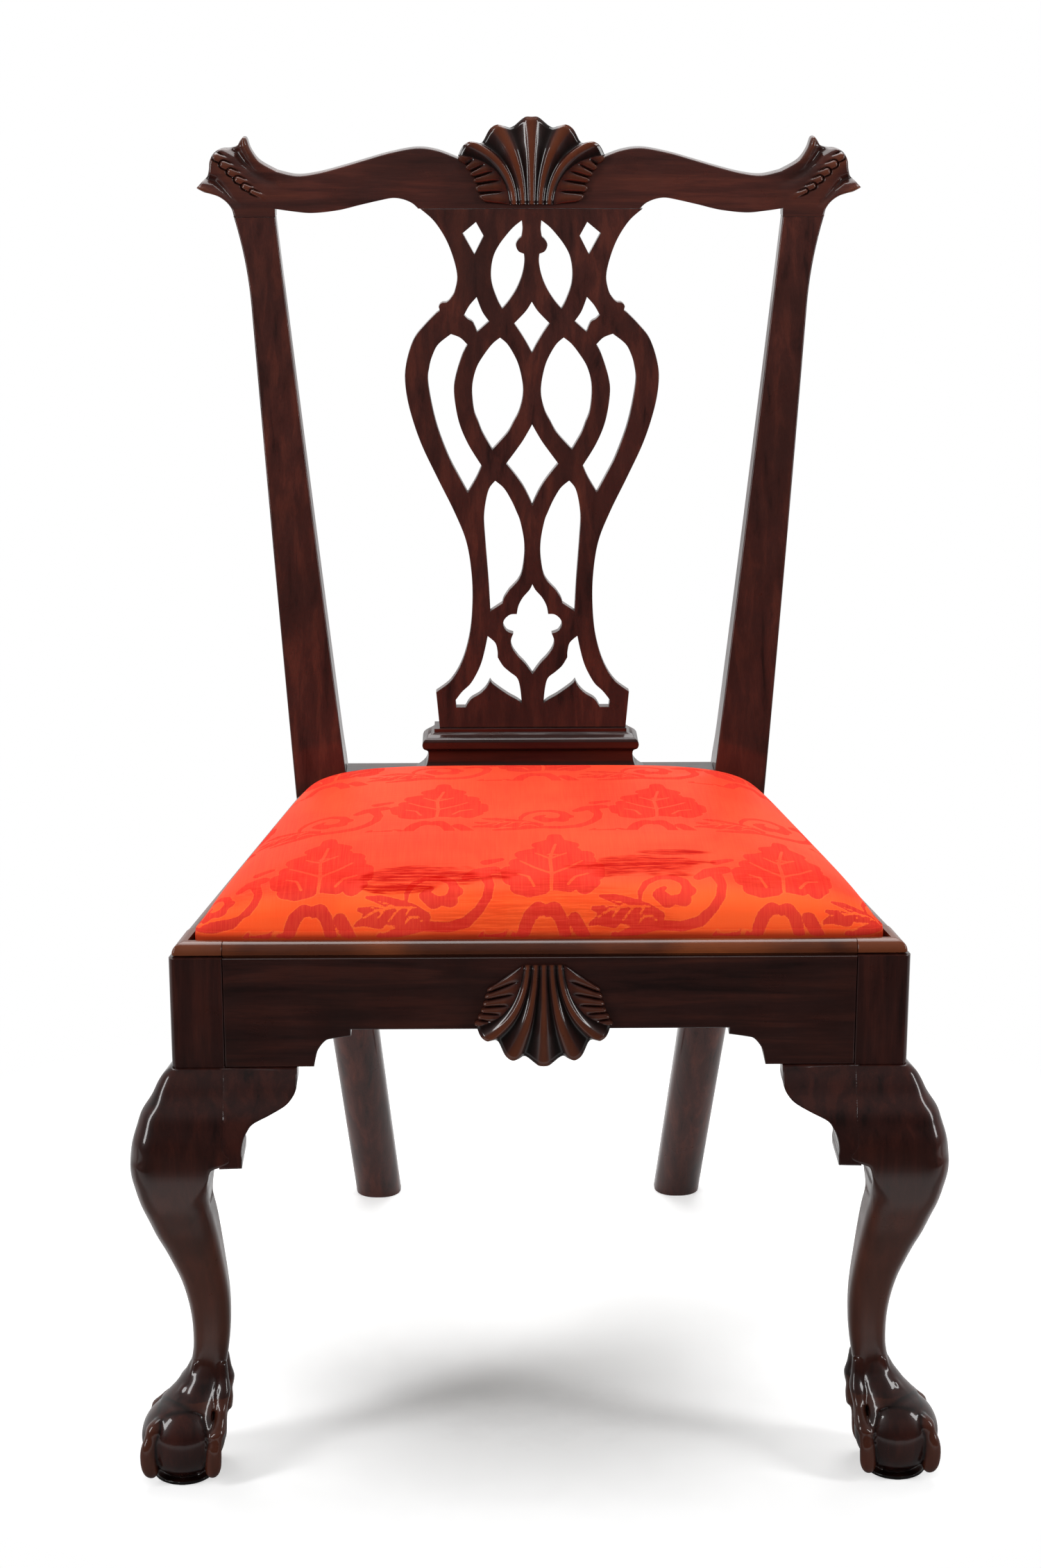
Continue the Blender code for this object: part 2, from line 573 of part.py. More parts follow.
def lip_profile():
    """Rail's moulding above its face: distance inside the face and height."""
    run = LIP_THICKNESS - LIP_QUIRK - LIP_FLAT
    points = [(LIP_QUIRK, RAIL_FACE_TOP + LIP_STEP / 4)]
    for k in range(4):
        angle = math.radians(30 * k)
        points.append((
            LIP_QUIRK + run * (1 - math.cos(angle)),
            RAIL_FACE_TOP + LIP_STEP + (LIP_RISE - LIP_STEP) * math.sin(angle),
        ))
    return points


def rail_profile(foot):
    """Whole section of a front or side rail above its lower edge."""
    face = [(0.0, foot), (0.0, RAIL_FACE_TOP)]
    back = [(LIP_THICKNESS, LIP_TOP), (LIP_THICKNESS, LEDGE), (RAIL_THICKNESS, LEDGE), (RAIL_THICKNESS, foot)]
    return face + lip_profile() + back


def step_edge():
    """Step at one end of a shaped lower edge: distance past the arch and height."""
    arch = RAIL_FOOT + RAIL_ARCH_RISE
    points = smooth_outline(STEP_SHARES) + [STEP_SHARES[-1][-1]]
    return [(d * ARCH_STEP_WIDTH, arch - drop * RAIL_ARCH_RISE) for d, drop in points]


def make_front_rail(material, parent):
    half = HALF_FRONT - POST_SIDE - FIT_GAP
    rail = make_object(
        "front_seat_rail",
        prism(rail_profile(RAIL_FOOT), lambda y, z: (-half, y, z), lambda y, z: (half, y, z)),
        material,
        parent,
    )
    arch = RAIL_FOOT + RAIL_ARCH_RISE
    edge = [(ARCH_HALF_WIDTH, arch)] + [(ARCH_HALF_WIDTH + d, z) for d, z in step_edge()[:-1]]
    edge.append((ARCH_HALF_WIDTH + ARCH_STEP_WIDTH, RAIL_FOOT - CUT_OVERRUN))
    outline = mirrored(edge)
    cut = make_object(
        "cut",
        prism(outline, lambda x, z: (x, -CUT_OVERRUN, z), lambda x, z: (x, RAIL_THICKNESS + CUT_OVERRUN, z)),
        material,
    )
    combine(rail, [cut], "DIFFERENCE")
    low = RAIL_FOOT + TENON_SHOULDER
    high = LEDGE - TENON_SHOULDER
    mid = RAIL_THICKNESS / 2
    tenons = []
    for side in (-1, 1):
        ends = sorted((side * (half - LAP), side * (half + TENON_LENGTH)))
        tenons.append(make_object("tenon", box(
            (ends[0], mid - TENON_THICKNESS / 2, low), (ends[1], mid + TENON_THICKNESS / 2, high)
        ), material))
    return combine(rail, tenons, "UNION")


def side_point(side):
    return lambda y, z, inset: (side * side_x(y, z, inset), y, z)


def make_side_rail(name, side, material, parent):
    place = side_point(side)
    front = POST_SIDE + FIT_GAP
    back = SEAT_DEPTH - FIT_GAP
    arch = RAIL_FOOT + RAIL_ARCH_RISE
    start = front + HALF_FRONT - POST_SIDE - ARCH_HALF_WIDTH
    stations = [(front, RAIL_FOOT)] + [(start - d, z) for d, z in reversed(step_edge())]
    for k in range(RAIL_STATIONS):
        stations.append((start + LIP_STEP + (back - start - LIP_STEP) * k / (RAIL_STATIONS - 1), arch))
    rings = [[place(y, z, n) for n, z in rail_profile(foot)] for y, foot in stations]
    rail = make_object(name, loft(rings), material, parent)
    tenons = [
        side_tenon(side, front - TENON_LENGTH, front + LAP, RAIL_FOOT + TENON_SHOULDER, 0.0, material),
        side_tenon(side, back - LAP, SEAT_DEPTH + REAR_LEG_DEPTH, arch + TENON_SHOULDER, 0.0, material),
    ]
    return combine(rail, tenons, "UNION")


def side_tenon(side, start, end, low, clearance, material):
    """Tenon of a side rail, or with a clearance the mortise that takes it."""
    place = side_point(side)
    near = RAIL_THICKNESS / 2 - TENON_THICKNESS / 2 - clearance
    far = RAIL_THICKNESS / 2 + TENON_THICKNESS / 2 + clearance
    high = LEDGE - TENON_SHOULDER + clearance
    section = ((near, low - clearance), (far, low - clearance), (far, high), (near, high))
    return make_object(
        "tenon",
        prism(section, lambda n, z: place(start, z, n), lambda n, z: place(end, z, n)),
        material,
    )


def make_rear_rail(material, parent):
    foot = RAIL_FOOT + RAIL_ARCH_RISE
    upper = SEAT_DEPTH - REAR_RAIL_SETBACK
    back = SEAT_DEPTH + REAR_LEG_DEPTH - STILE_BACK_RADIUS
    profile = (
        (upper - REAR_LEDGE_WIDTH, foot), (upper - REAR_LEDGE_WIDTH, LEDGE), (upper, LEDGE),
        (upper, REAR_RAIL_TOP), (back, REAR_RAIL_TOP), (back, foot),
    )

    def end(side):
        return lambda y, z: (side * (post_sides(z)[0] - FIT_GAP), y, z)

    rail = make_object("rear_seat_rail", prism(profile, end(-1), end(1)), material, parent)
    tenons = [rear_tenon(side, -LAP, REAR_TENON_LENGTH - FIT_GAP, 0.0, material) for side in (-1, 1)]
    return combine(rail, tenons, "UNION")


def rear_tenon(side, start, end, clearance, material):
    mid = SEAT_DEPTH + REAR_LEG_DEPTH / 2
    low = RAIL_FOOT + RAIL_ARCH_RISE + TENON_SHOULDER - clearance
    high = REAR_RAIL_TOP - TENON_SHOULDER + clearance
    half = TENON_THICKNESS / 2 + clearance
    section = ((mid - half, low), (mid + half, low), (mid + half, high), (mid - half, high))

    def place(reach):
        return lambda y, z: (side * (post_sides(z)[0] + reach), y, z)

    return make_object("tenon", prism(section, place(start), place(end)), material)


# Rear posts


def post_ring(side, z, front_radius, back_radius, depth):
    inner, outer = post_sides(z)
    front = back_face(z)
    ring = rounded_ring(
        (inner, front), (outer, front + depth), z, (front_radius, front_radius, back_radius, back_radius), 3
    )
    return [(side * x, y, z) for x, y, z in ring]


def post_rings(side):
    rings = []
    round_leg = REAR_LEG_WIDTH * REAR_LEG_ROUNDING_SHARE
    for share in REAR_LEG_LEVEL_SHARES:
        z = share * RAKE_START
        rings.append(post_ring(side, z, round_leg, round_leg, REAR_LEG_DEPTH))
    for z in (RAIL_FOOT + RAIL_ARCH_RISE - LAP, RAIL_FACE_TOP, REAR_RAIL_TOP):
        rings.append(post_ring(side, z, ARRIS_RADIUS, ARRIS_RADIUS, REAR_LEG_DEPTH))
    rise = CREST_JOINT_HEIGHT - FIT_GAP - REAR_RAIL_TOP
    for share in STILE_LEVEL_SHARES:
        z = REAR_RAIL_TOP + share * rise
        depth = REAR_LEG_DEPTH + (STILE_TOP_DEPTH - REAR_LEG_DEPTH) * share
        rings.append(post_ring(side, z, ARRIS_RADIUS, STILE_BACK_RADIUS, depth))
    return rings


def stile_tenon(side, z, clearance):
    inner, outer = post_sides(CREST_JOINT_HEIGHT)
    mid_x = (inner + outer) / 2
    mid_y = back_face(CREST_JOINT_HEIGHT) + STILE_TOP_DEPTH / 2
    half_x = STILE_TENON_WIDTH / 2 + clearance
    half_y = STILE_TENON_DEPTH / 2 + clearance
    ring = rounded_ring(
        (mid_x - half_x, mid_y - half_y), (mid_x + half_x, mid_y + half_y), z, (ARRIS_RADIUS,) * 4, 3
    )
    return [(side * x, y, z) for x, y, z in ring]


def make_rear_post(name, side, material, parent):
    rings = post_rings(side)
    joint = CREST_JOINT_HEIGHT - FIT_GAP
    rings.append(stile_tenon(side, joint, 0.0))
    rings.append(stile_tenon(side, joint + STILE_TENON_HEIGHT, 0.0))
    post = make_object(name, loft(rings), material, parent)
    back = SEAT_DEPTH + REAR_LEG_DEPTH + CUT_OVERRUN
    low = RAIL_FOOT + RAIL_ARCH_RISE + TENON_SHOULDER
    cuts = [
        side_tenon(side, SEAT_DEPTH - CUT_OVERRUN, back, low, FIT_GAP, material),
        rear_tenon(side, -CUT_OVERRUN, REAR_TENON_LENGTH, FIT_GAP, material),
    ]
    return combine(post, cuts, "DIFFERENCE")


# Back


def crest_back(x, z):
    top = ease((z - CREST_JOINT_HEIGHT) / CREST_HEIGHT)
    end = ease((abs(x) - STILE_TOP_OUTER) / CREST_EAR_REACH)
    return back_face(z) + CREST_THICKNESS - CREST_THINNING * max(top, end)


def crest_outline():
    joint = CREST_JOINT_HEIGHT
    stile_inner = STILE_TOP_OUTER - STILE_TOP_WIDTH
    gap = stile_inner - SPLAT_TOP_HALF
    under = [
        (SPLAT_TOP_HALF + share * gap, joint + rise * CREST_UNDER_RISE)
        for share, rise in zip(UNDER_SPAN_SHARES, UNDER_SHARES)
    ]
    half = smooth_run(under, CURVE_STEPS) + [under[-1], (stile_inner, joint)]
    for run in EAR_SHARES:
        placed = [(STILE_TOP_OUTER + x * CREST_EAR_REACH, joint + z * CREST_HEIGHT) for x, z in run]
        half += smooth_run(placed, CURVE_STEPS)
    top = [placed[-1]] + [(x * STILE_TOP_OUTER, joint + z * CREST_HEIGHT) for x, z in CREST_TOP_SHARES]
    half += smooth_run(top, CURVE_STEPS) + [top[-1], (0.0, joint + CREST_HEIGHT)]
    return mirrored(half)


def splat_tongue(low, high, clearance, material, half):
    """Tongue at an end of the splat, or with a clearance the slot that takes it."""
    inset = (SPLAT_THICKNESS - SPLAT_TONGUE_THICKNESS) / 2 - clearance
    reach = half - SPLAT_TONGUE_INSET + clearance
    section = ((-reach, low), (reach, low), (reach, high), (-reach, high))
    return make_object("tongue", prism(
        section,
        lambda x, z: (x, back_face(z) + inset, z),
        lambda x, z: (x, back_face(z) + inset + SPLAT_TONGUE_THICKNESS + 2 * clearance, z),
    ), material)


def crest_shell_place():
    """Frame of the shell on the crest rail: across, up along the back's slope, and forward."""
    slope = (back_face(CREST_JOINT_HEIGHT + CREST_HEIGHT) - back_face(CREST_JOINT_HEIGHT)) / CREST_HEIGHT
    up = Vector((0.0, slope, 1.0)).normalized()
    out = Vector((0.0, -1.0, slope)).normalized()
    foot = Vector((0.0, back_face(SPLAT_TOP), SPLAT_TOP + FIT_GAP + slope * CREST_SHELL_BODY))
    return lambda across, along, forward: foot + Vector((across, 0.0, 0.0)) + up * along + out * forward


def make_crest_rail(material, parent):
    levels = [CREST_JOINT_HEIGHT + share * CREST_HEIGHT for share in CREST_LEVEL_SHARES]
    crest = make_object(
        "crest_rail",
        plate(crest_outline(), [], lambda x, z: back_face(z), crest_back, levels),
        material,
        parent,
        (0.0, back_face(CREST_JOINT_HEIGHT), CREST_JOINT_HEIGHT),
    )
    shell = scallop(
        CREST_SHELL_HALF, CREST_SHELL_HEIGHT, CREST_SHELL_BODY, crest_shell_place(), CREST_RIM_SHARES,
        CREST_FEATHER_SHARES,
    )
    combine(crest, [make_object("shell", shell, material)], "UNION")
    cuts = []
    for side in (-1, 1):
        rings = [stile_tenon(side, z, FIT_GAP) for z in (
            CREST_JOINT_HEIGHT - CUT_OVERRUN, CREST_JOINT_HEIGHT + STILE_TENON_HEIGHT + FIT_GAP
        )]
        cuts.append(make_object("cut", loft(rings), material))
    slot_top = SPLAT_TOP + SPLAT_TONGUE_HEIGHT + FIT_GAP
    cuts.append(splat_tongue(SPLAT_TOP - CUT_OVERRUN, slot_top, FIT_GAP, material, SPLAT_TOP_HALF))
    return combine(crest, cuts, "DIFFERENCE")


def make_splat(material, parent):
    low = SHOE_TOP + FIT_GAP
    high = SPLAT_TOP - FIT_GAP
    height = high - low

    def placed(runs, side=1):
        outline = smooth_outline(runs, SPLAT_STEPS)
        return [(side * x * SPLAT_HALF_WIDTH, low + z * height) for x, z in outline]

    last = SPLAT_EDGE_SHARES[-1][-1]
    half = placed(SPLAT_EDGE_SHARES) + [(last[0] * SPLAT_HALF_WIDTH, low)]
    holes = [placed(runs, side) for runs in SPLAT_SIDE_OPENINGS_SHARES for side in (-1, 1)]
    for runs in SPLAT_MIDDLE_OPENINGS_SHARES:
        end = (0.0, low + runs[-1][-1][1] * height)
        holes.append(mirrored(placed(runs) + [end]))
    levels = [low + share * height for share in SPLAT_LEVEL_SHARES]
    splat = make_object(
        "splat",
        plate(
            mirrored(half), holes, lambda x, z: back_face(z), lambda x, z: back_face(z) + SPLAT_THICKNESS, levels
        ),
        material,
        parent,
    )
    tongues = [
        splat_tongue(high - LAP, high + SPLAT_TONGUE_HEIGHT, 0.0, material, SPLAT_TOP_HALF),
        splat_tongue(low - SPLAT_TONGUE_HEIGHT, low + LAP, 0.0, material, SHOE_TOP_HALF),
    ]
    return combine(splat, tongues, "UNION")


def make_shoe(material, parent):
    foot = REAR_RAIL_TOP + FIT_GAP
    top_front = back_face(SHOE_TOP) - LAP
    back = top_front + SHOE_DEPTH
    limit = SEAT_DEPTH - REAR_RAIL_SETBACK
    rings = []
    for height, swell in SHOE_SHARES:
        z = foot + height * SHOE_HEIGHT
        half = SHOE_TOP_HALF + swell * SHOE_SWELL
        front = max(top_front - swell * SHOE_SWELL, limit)
        rings.append([(-half, front, z), (half, front, z), (half, back, z), (-half, back, z)])
    shoe = make_object("shoe", loft(rings), material, parent)
    slot = splat_tongue(SHOE_TOP - SPLAT_TONGUE_HEIGHT - FIT_GAP, SHOE_TOP + CUT_OVERRUN, FIT_GAP, material,
                        SHOE_TOP_HALF)
    return combine(shoe, [slot], "DIFFERENCE")


# Shells


def bent(start, control, end, share):
    rest = 1 - share
    weights = (rest * rest, 2 * rest * share, share * share)
    return tuple(sum(w * v for w, v in zip(weights, values)) for values in zip(start, control, end))


def fan_point(rim_shares, t, v):
    """Place on the fan at lateral count t and share v of the way from hinge to rim."""
    sign = 1 if t >= 0 else -1
    t = min(abs(t), SHELL_LAST_RIB_SHARE)
    rim = table_value(rim_shares, t)
    spread = t / SHELL_LAST_RIB_SHARE
    hinge = (SHELL_HINGE_SHARE * spread, 0.0)
    control = (SHELL_BEND_SHARES[0] * spread, SHELL_BEND_SHARES[1])
    x, z = bent(hinge, control, rim, v)
    return sign * x, z


def fan_relief(t, v):
    """Forward reach of the fan: a dome with convex ribs and hollow flutes between them."""
    spread = abs(t) / SHELL_LAST_RIB_SHARE
    rise = DOME_FOOT_SHARE + DOME_RISE_SHARE * ease(v / DOME_RISE_END_SHARE) - DOME_FALL_SHARE * v
    dome = rise * (1 - DOME_SIDE_SHARE * spread * spread)
    flute = (1 - math.cos(4 * math.pi * t)) / 2
    deep = RIB_HINGE_SHARE + (1 - RIB_HINGE_SHARE) * v
    return SHELL_RELIEF * dome - SHELL_RIB_DEPTH * deep * flute


def feather_end(feather_shares, a):
    """Outer end of the small feathered ribs, from the fan's corner down to the hinge."""
    step = a * (len(feather_shares) - 1)
    i = min(int(step), len(feather_shares) - 2)
    return tuple(p + (q - p) * (step - i) for p, q in zip(feather_shares[i], feather_shares[i + 1]))


def scallop(half, height, body, place, rim_shares, feather_shares):
    """Closed shell: a fan of five ribs, feathered at both sides, on a flat back."""
    shape = bmesh.new()

    def vertex(x, z, forward):
        return shape.verts.new(place(x * half, z * height, forward))

    def fan_column(t, rows):
        return [vertex(*fan_point(rim_shares, t, j / rows), fan_relief(t, j / rows)) for j in range(rows + 1)]

    columns = [fan_column(-SHELL_LAST_RIB_SHARE, 2 * FAN_ROWS)]
    for i in range(1, FAN_COLUMNS):
        columns.append(fan_column(SHELL_LAST_RIB_SHARE * (2 * i / FAN_COLUMNS - 1), FAN_ROWS))
    columns.append(fan_column(SHELL_LAST_RIB_SHARE, 2 * FAN_ROWS))
    for near, far in zip(columns, columns[1:]):
        for j in range(FAN_ROWS):
            first = near[2 * j:2 * j + 3] if len(near) > FAN_ROWS + 1 else near[j:j + 2]
            last = far[2 * j:2 * j + 3] if len(far) > FAN_ROWS + 1 else far[j:j + 2]
            shape.faces.new(first + last[::-1])
    for sign, edge in ((-1, columns[0]), (1, columns[-1])):
        add_feathers(shape, vertex, sign, edge, rim_shares, feather_shares)
    close_behind(shape, body, place)
    return shape


def add_feathers(shape, vertex, sign, edge, rim_shares, feather_shares):
    """Small ribs that run out sideways from the fan's edge; the edge starts at the hinge."""
    last = [edge[-1]] * 3
    count = len(edge) - 1
    for k in range(1, count + 1):
        near = fan_point(rim_shares, SHELL_LAST_RIB_SHARE, 1 - k / count)
        far = feather_end(feather_shares, k / count)
        lift = fan_relief(SHELL_LAST_RIB_SHARE, 1 - k / count)
        ridge = FEATHER_DEPTH * (k % 2)
        row = [edge[count - k]]
        for share in (FEATHER_FOLD_SHARE, 1.0):
            x = near[0] + (far[0] - near[0]) * share
            z = near[1] + (far[1] - near[1]) * share
            row.append(vertex(sign * x, z, lift * (1 - share / 2) + ridge))
        for p in range(2):
            corners = [last[p], last[p + 1], row[p + 1], row[p]]
            shape.faces.new(list(dict.fromkeys(corners)))
        last = row


def close_behind(shape, body, place):
    """Wall round the edge and a flat back."""
    base = place(0.0, 0.0, -body)
    out = (place(0.0, 0.0, SHELL_RELIEF) - place(0.0, 0.0, 0.0)).normalized()
    rim = [edge for edge in shape.edges if len(edge.link_faces) == 1]
    made = bmesh.ops.extrude_edge_only(shape, edges=rim)
    moved = [item for item in made["geom"] if isinstance(item, bmesh.types.BMVert)]
    for point in moved:
        point.co -= out * (point.co - base).dot(out)
    edges = [item for item in made["geom"] if isinstance(item, bmesh.types.BMEdge)]
    loop = [edge for edge in edges if len(edge.link_faces) == 1]
    bmesh.ops.edgeloop_fill(shape, edges=loop)


def make_seat_shell(material, parent):
    top = RAIL_FACE_TOP - SEAT_SHELL_TOP

    def place(across, along, forward):
        return Vector((across, -FIT_GAP - forward, top - along))

    shape = scallop(SEAT_SHELL_HALF, SEAT_SHELL_HEIGHT, 0.0, place, SEAT_RIM_SHARES, SEAT_FEATHER_SHARES)
    make_object("seat_shell", shape, material, parent)


# Front legs


def leg_lean(a, b, z):
    """How far the leg's outer side follows the side rail's slant, none at its inner side."""
    share = min(max(1 - a / POST_SIDE, 0.0), 1.0)
    taken = ease((z / RAIL_FOOT - LEAN_START_SHARE) / LEAN_RANGE_SHARE)
    return share * max(b, 0.0) * SEAT_TAPER * taken


def leg_rings(side):
    """Knee, ankle and the web over the ball, from the top of the knee down."""
    tucked = RAIL_FOOT + LAP
    rings = [post_plan(side, LIP_QUIRK, tucked, POST_SIDE - LIP_QUIRK)]
    for height, reach, width, radius in LEG_SHARES:
        z = height * RAIL_FOOT
        out = reach * KNEE_REACH
        wide = ANKLE_WIDTH + width * (KNEE_WIDTH - ANKLE_WIDTH)
        ring = rounded_ring((-out, -out), (wide - out, wide - out), z, (radius * wide,) * 4, 3)
        rings.append([(side * (HALF_FRONT - a - leg_lean(a, b, z)), b, z) for a, b, z in ring])
    return rings


def post_plan(side, inset, z, reach=POST_SIDE):
    """Corner post's plan, its two outer faces moved in by the inset."""
    radius = max(POST_ARRIS_RADIUS - inset, ARRIS_RADIUS)
    radii = (radius, ARRIS_RADIUS, ARRIS_RADIUS, ARRIS_RADIUS)
    ring = rounded_ring((inset, inset), (reach, reach), z, radii, 3)
    return [(side * (HALF_FRONT - a - SEAT_TAPER * b * (1 - a / POST_SIDE)), b, z) for a, b, z in ring]


def corner_post(side):
    rings = [post_plan(side, 0.0, RAIL_FOOT), post_plan(side, 0.0, RAIL_FACE_TOP)]
    rings += [post_plan(side, inset, z) for inset, z in lip_profile()]
    return loft(rings)


def rabbet_cut(side, material):
    """Space of the slip seat above the ledge, at a corner post."""
    far = POST_SIDE + CUT_OVERRUN
    points = (
        (side_x(LIP_THICKNESS, RAIL_FACE_TOP, LIP_THICKNESS), LIP_THICKNESS),
        (side_x(far, RAIL_FACE_TOP, LIP_THICKNESS), far),
        (HALF_FRONT - far, far),
        (HALF_FRONT - far, LIP_THICKNESS),
    )
    high = LIP_TOP + CUT_OVERRUN
    return make_object("cut", prism(
        points, lambda x, y: (side * x, y, LEDGE), lambda x, y: (side * x, y, high)
    ), material)


def ball_shape(side):
    """Ball on a low pad."""
    middle_x = side * (HALF_FRONT - BALL_INSET)
    middle_z = BALL_HEIGHT - BALL_RADIUS
    rings = []
    sizes = [(PAD_RADIUS, 0.0), (PAD_RADIUS, PAD_HEIGHT)]
    for share in BALL_SHARES:
        angle = math.radians(90 * share)
        sizes.append((BALL_RADIUS * math.cos(angle), middle_z + BALL_RADIUS * math.sin(angle)))
    for radius, z in sizes:
        turns = [2 * math.pi * k / BALL_SEGMENTS for k in range(BALL_SEGMENTS)]
        rings.append([(middle_x + radius * math.cos(t), BALL_INSET + radius * math.sin(t), z) for t in turns])
    return loft(rings)


def talon_shape(side, angle):
    """One claw: a tapering tube with two knuckles that leaves the ankle and bends over the ball."""
    out = Vector((side * math.cos(angle), -math.sin(angle), 0.0))
    across = Vector((-out.y, out.x, 0.0))
    inward = Vector((-side, 1.0, 0.0)).normalized()
    axis = Vector((side * (HALF_FRONT - BALL_INSET), BALL_INSET, 0.0))
    path = []
    for reach, height, _, shift in TALON_SHARES:
        middle = axis + inward * (shift * ANKLE_SHIFT)
        path.append(middle + out * (reach * BALL_RADIUS) + Vector((0.0, 0.0, height * BALL_HEIGHT / 2)))
    rings = []
    for i, point in enumerate(path):
        ahead = (path[min(i + 1, len(path) - 1)] - path[max(i - 1, 0)]).normalized()
        normal = across.cross(ahead)
        thick = TALON_RADIUS * TALON_SHARES[i][2]
        turns = [2 * math.pi * k / TALON_SEGMENTS for k in range(TALON_SEGMENTS)]
        deep = thick * TALON_DEPTH_SHARE
        rings.append([point + across * (thick * math.cos(t)) + normal * (deep * math.sin(t)) for t in turns])
    return loft(rings)


def make_front_leg(name, side, material, parent):
    leg = make_object(name, loft(leg_rings(side)), material, parent, (side * HALF_FRONT, 0.0, 0.0))
    shapes = [corner_post(side), ball_shape(side)]
    shapes += [talon_shape(side, math.radians(45 + 90 * quarter)) for quarter in range(4)]
    combine(leg, [make_object("add", shape, material) for shape in shapes], "UNION")
    half = HALF_FRONT - POST_SIDE
    middle = RAIL_THICKNESS / 2
    reach = TENON_THICKNESS / 2 + FIT_GAP
    ends = sorted((side * (half - CUT_OVERRUN), side * (half + TENON_LENGTH)))
    low = RAIL_FOOT + TENON_SHOULDER
    high = LEDGE - TENON_SHOULDER
    mortise = box((ends[0], middle - reach, low - FIT_GAP), (ends[1], middle + reach, high + FIT_GAP))
    cuts = [
        rabbet_cut(side, material),
        make_object("cut", mortise, material),
        side_tenon(side, POST_SIDE - TENON_LENGTH, POST_SIDE + CUT_OVERRUN, low, FIT_GAP, material),
    ]
    return combine(leg, cuts, "DIFFERENCE")


# Knee brackets


def bracket_shape(place):
    """Knee bracket as seen square to its rail: a is the distance from the leg's side."""
    foot = RAIL_FOOT - BRACKET_HEIGHT
    top = RAIL_FOOT - FIT_GAP
    edge = [(a * BRACKET_LENGTH, foot + h * (top - foot)) for a, h in smooth_outline(BRACKET_EDGE_SHARES)]
    last = BRACKET_EDGE_SHARES[-1][-1]
    outline = [(0.0, top)] + edge + [(last[0] * BRACKET_LENGTH, foot), (0.0, foot)]
    levels = [share * RAIL_FOOT for share, _, _, _ in LEG_SHARES if foot < share * RAIL_FOOT < top]
    shape = plate(outline, [], lambda a, z: -leg_reach(z), lambda a, z: BRACKET_BACK, levels)
    for vertex in shape.verts:
        vertex.co = place(*vertex.co)
    return shape


def front_bracket_place(side):
    return lambda a, b, z: Vector((side * (HALF_FRONT - POST_SIDE - FIT_GAP - a), b, z))


def side_bracket_place(side):
    start = POST_SIDE + FIT_GAP
    return lambda a, b, z: Vector((side * (HALF_FRONT - b - SEAT_TAPER * (start + a)), start + a, z))


def make_knee_brackets(side, word, material, parent):
    make_object("knee_bracket_front_" + word, bracket_shape(front_bracket_place(side)), material, parent)
    make_object("knee_bracket_side_" + word, bracket_shape(side_bracket_place(side)), material, parent)


# Glue blocks


def glue_block(name, plan, low, high, material, parent):
    return make_object(name, loft([plan(low), plan(high)]), material, parent)


def make_front_block(side, word, material, parent):
    """Quarter-round block behind a front post, notched round its inner corner."""
    back = RAIL_THICKNESS + BLOCK_GAP
    inner = POST_SIDE + FIT_GAP
    reach = POST_SIDE + BLOCK_SIZE
    corner = HALF_FRONT - inner

    def plan(z):
        start = (HALF_FRONT - reach, back)
        end = (side_x(reach, z, back), reach)
        middle = tuple(a + (b - a) * share for a, b, share in zip(start, end, BLOCK_HOLLOW_SHARES))
        curve = [bent(start, middle, end, k / 3) for k in range(4)]
        points = [(corner, back), *curve, (side_x(inner, z, back), inner), (corner, inner)]
        return [(side * x, y, z) for x, y in points]

    low = RAIL_FOOT + BLOCK_DROP
    glue_block("glue_block_front_" + word, plan, low, low + BLOCK_HEIGHT, material, parent)


def make_rear_block(side, word, material, parent):
    """Block that fills the corner between rear rail, side rail and rear post."""
    front = SEAT_DEPTH - REAR_RAIL_SETBACK - REAR_LEDGE_WIDTH - FIT_GAP
    back = SEAT_DEPTH - FIT_GAP
    inset = RAIL_THICKNESS + BLOCK_GAP

    def plan(z):
        rail_end = post_sides(z)[0] + FIT_GAP
        start = (rail_end - BLOCK_SIZE, front)
        end = (side_x(front - BLOCK_SIZE, z, inset), front - BLOCK_SIZE)
        middle = ((start[0] + end[0]) / 2, (start[1] + end[1]) / 2)
        curve = [bent(start, middle, end, k / 2) for k in range(3)]
        points = [*curve, (side_x(back, z, inset), back), (rail_end, back), (rail_end, front)]
        return [(side * x, y, z) for x, y in points]

    low = RAIL_FOOT + RAIL_ARCH_RISE + BLOCK_DROP
    high = min(low + BLOCK_HEIGHT, LEDGE - FIT_GAP)
    glue_block("glue_block_rear_" + word, plan, low, high, material, parent)


# Slip seat


def seat_x(y, inset):
    """|X| of the slip seat's side, inside the side rails' lips by the inset."""
    return side_x(y, RAIL_FACE_TOP, LIP_THICKNESS + inset)


def seat_front(inset):
    return LIP_THICKNESS + inset


def seat_back(inset):
    return SEAT_DEPTH - REAR_RAIL_SETBACK - inset


def slab(points, low, high):
    return prism(points, lambda x, y: (x, y, low), lambda x, y: (x, y, high))


def finish_member(member, cuts, material):
    """Halve a member's ends and round its outer corners."""
    combine(member, cuts, "DIFFERENCE")
    rings = [seat_plan(FRAME_INSET, z) for z in (FRAME_FOOT - CUT_OVERRUN, FRAME_TOP + CUT_OVERRUN)]
    combine(member, [make_object("plan", loft(rings), material)], "INTERSECT")


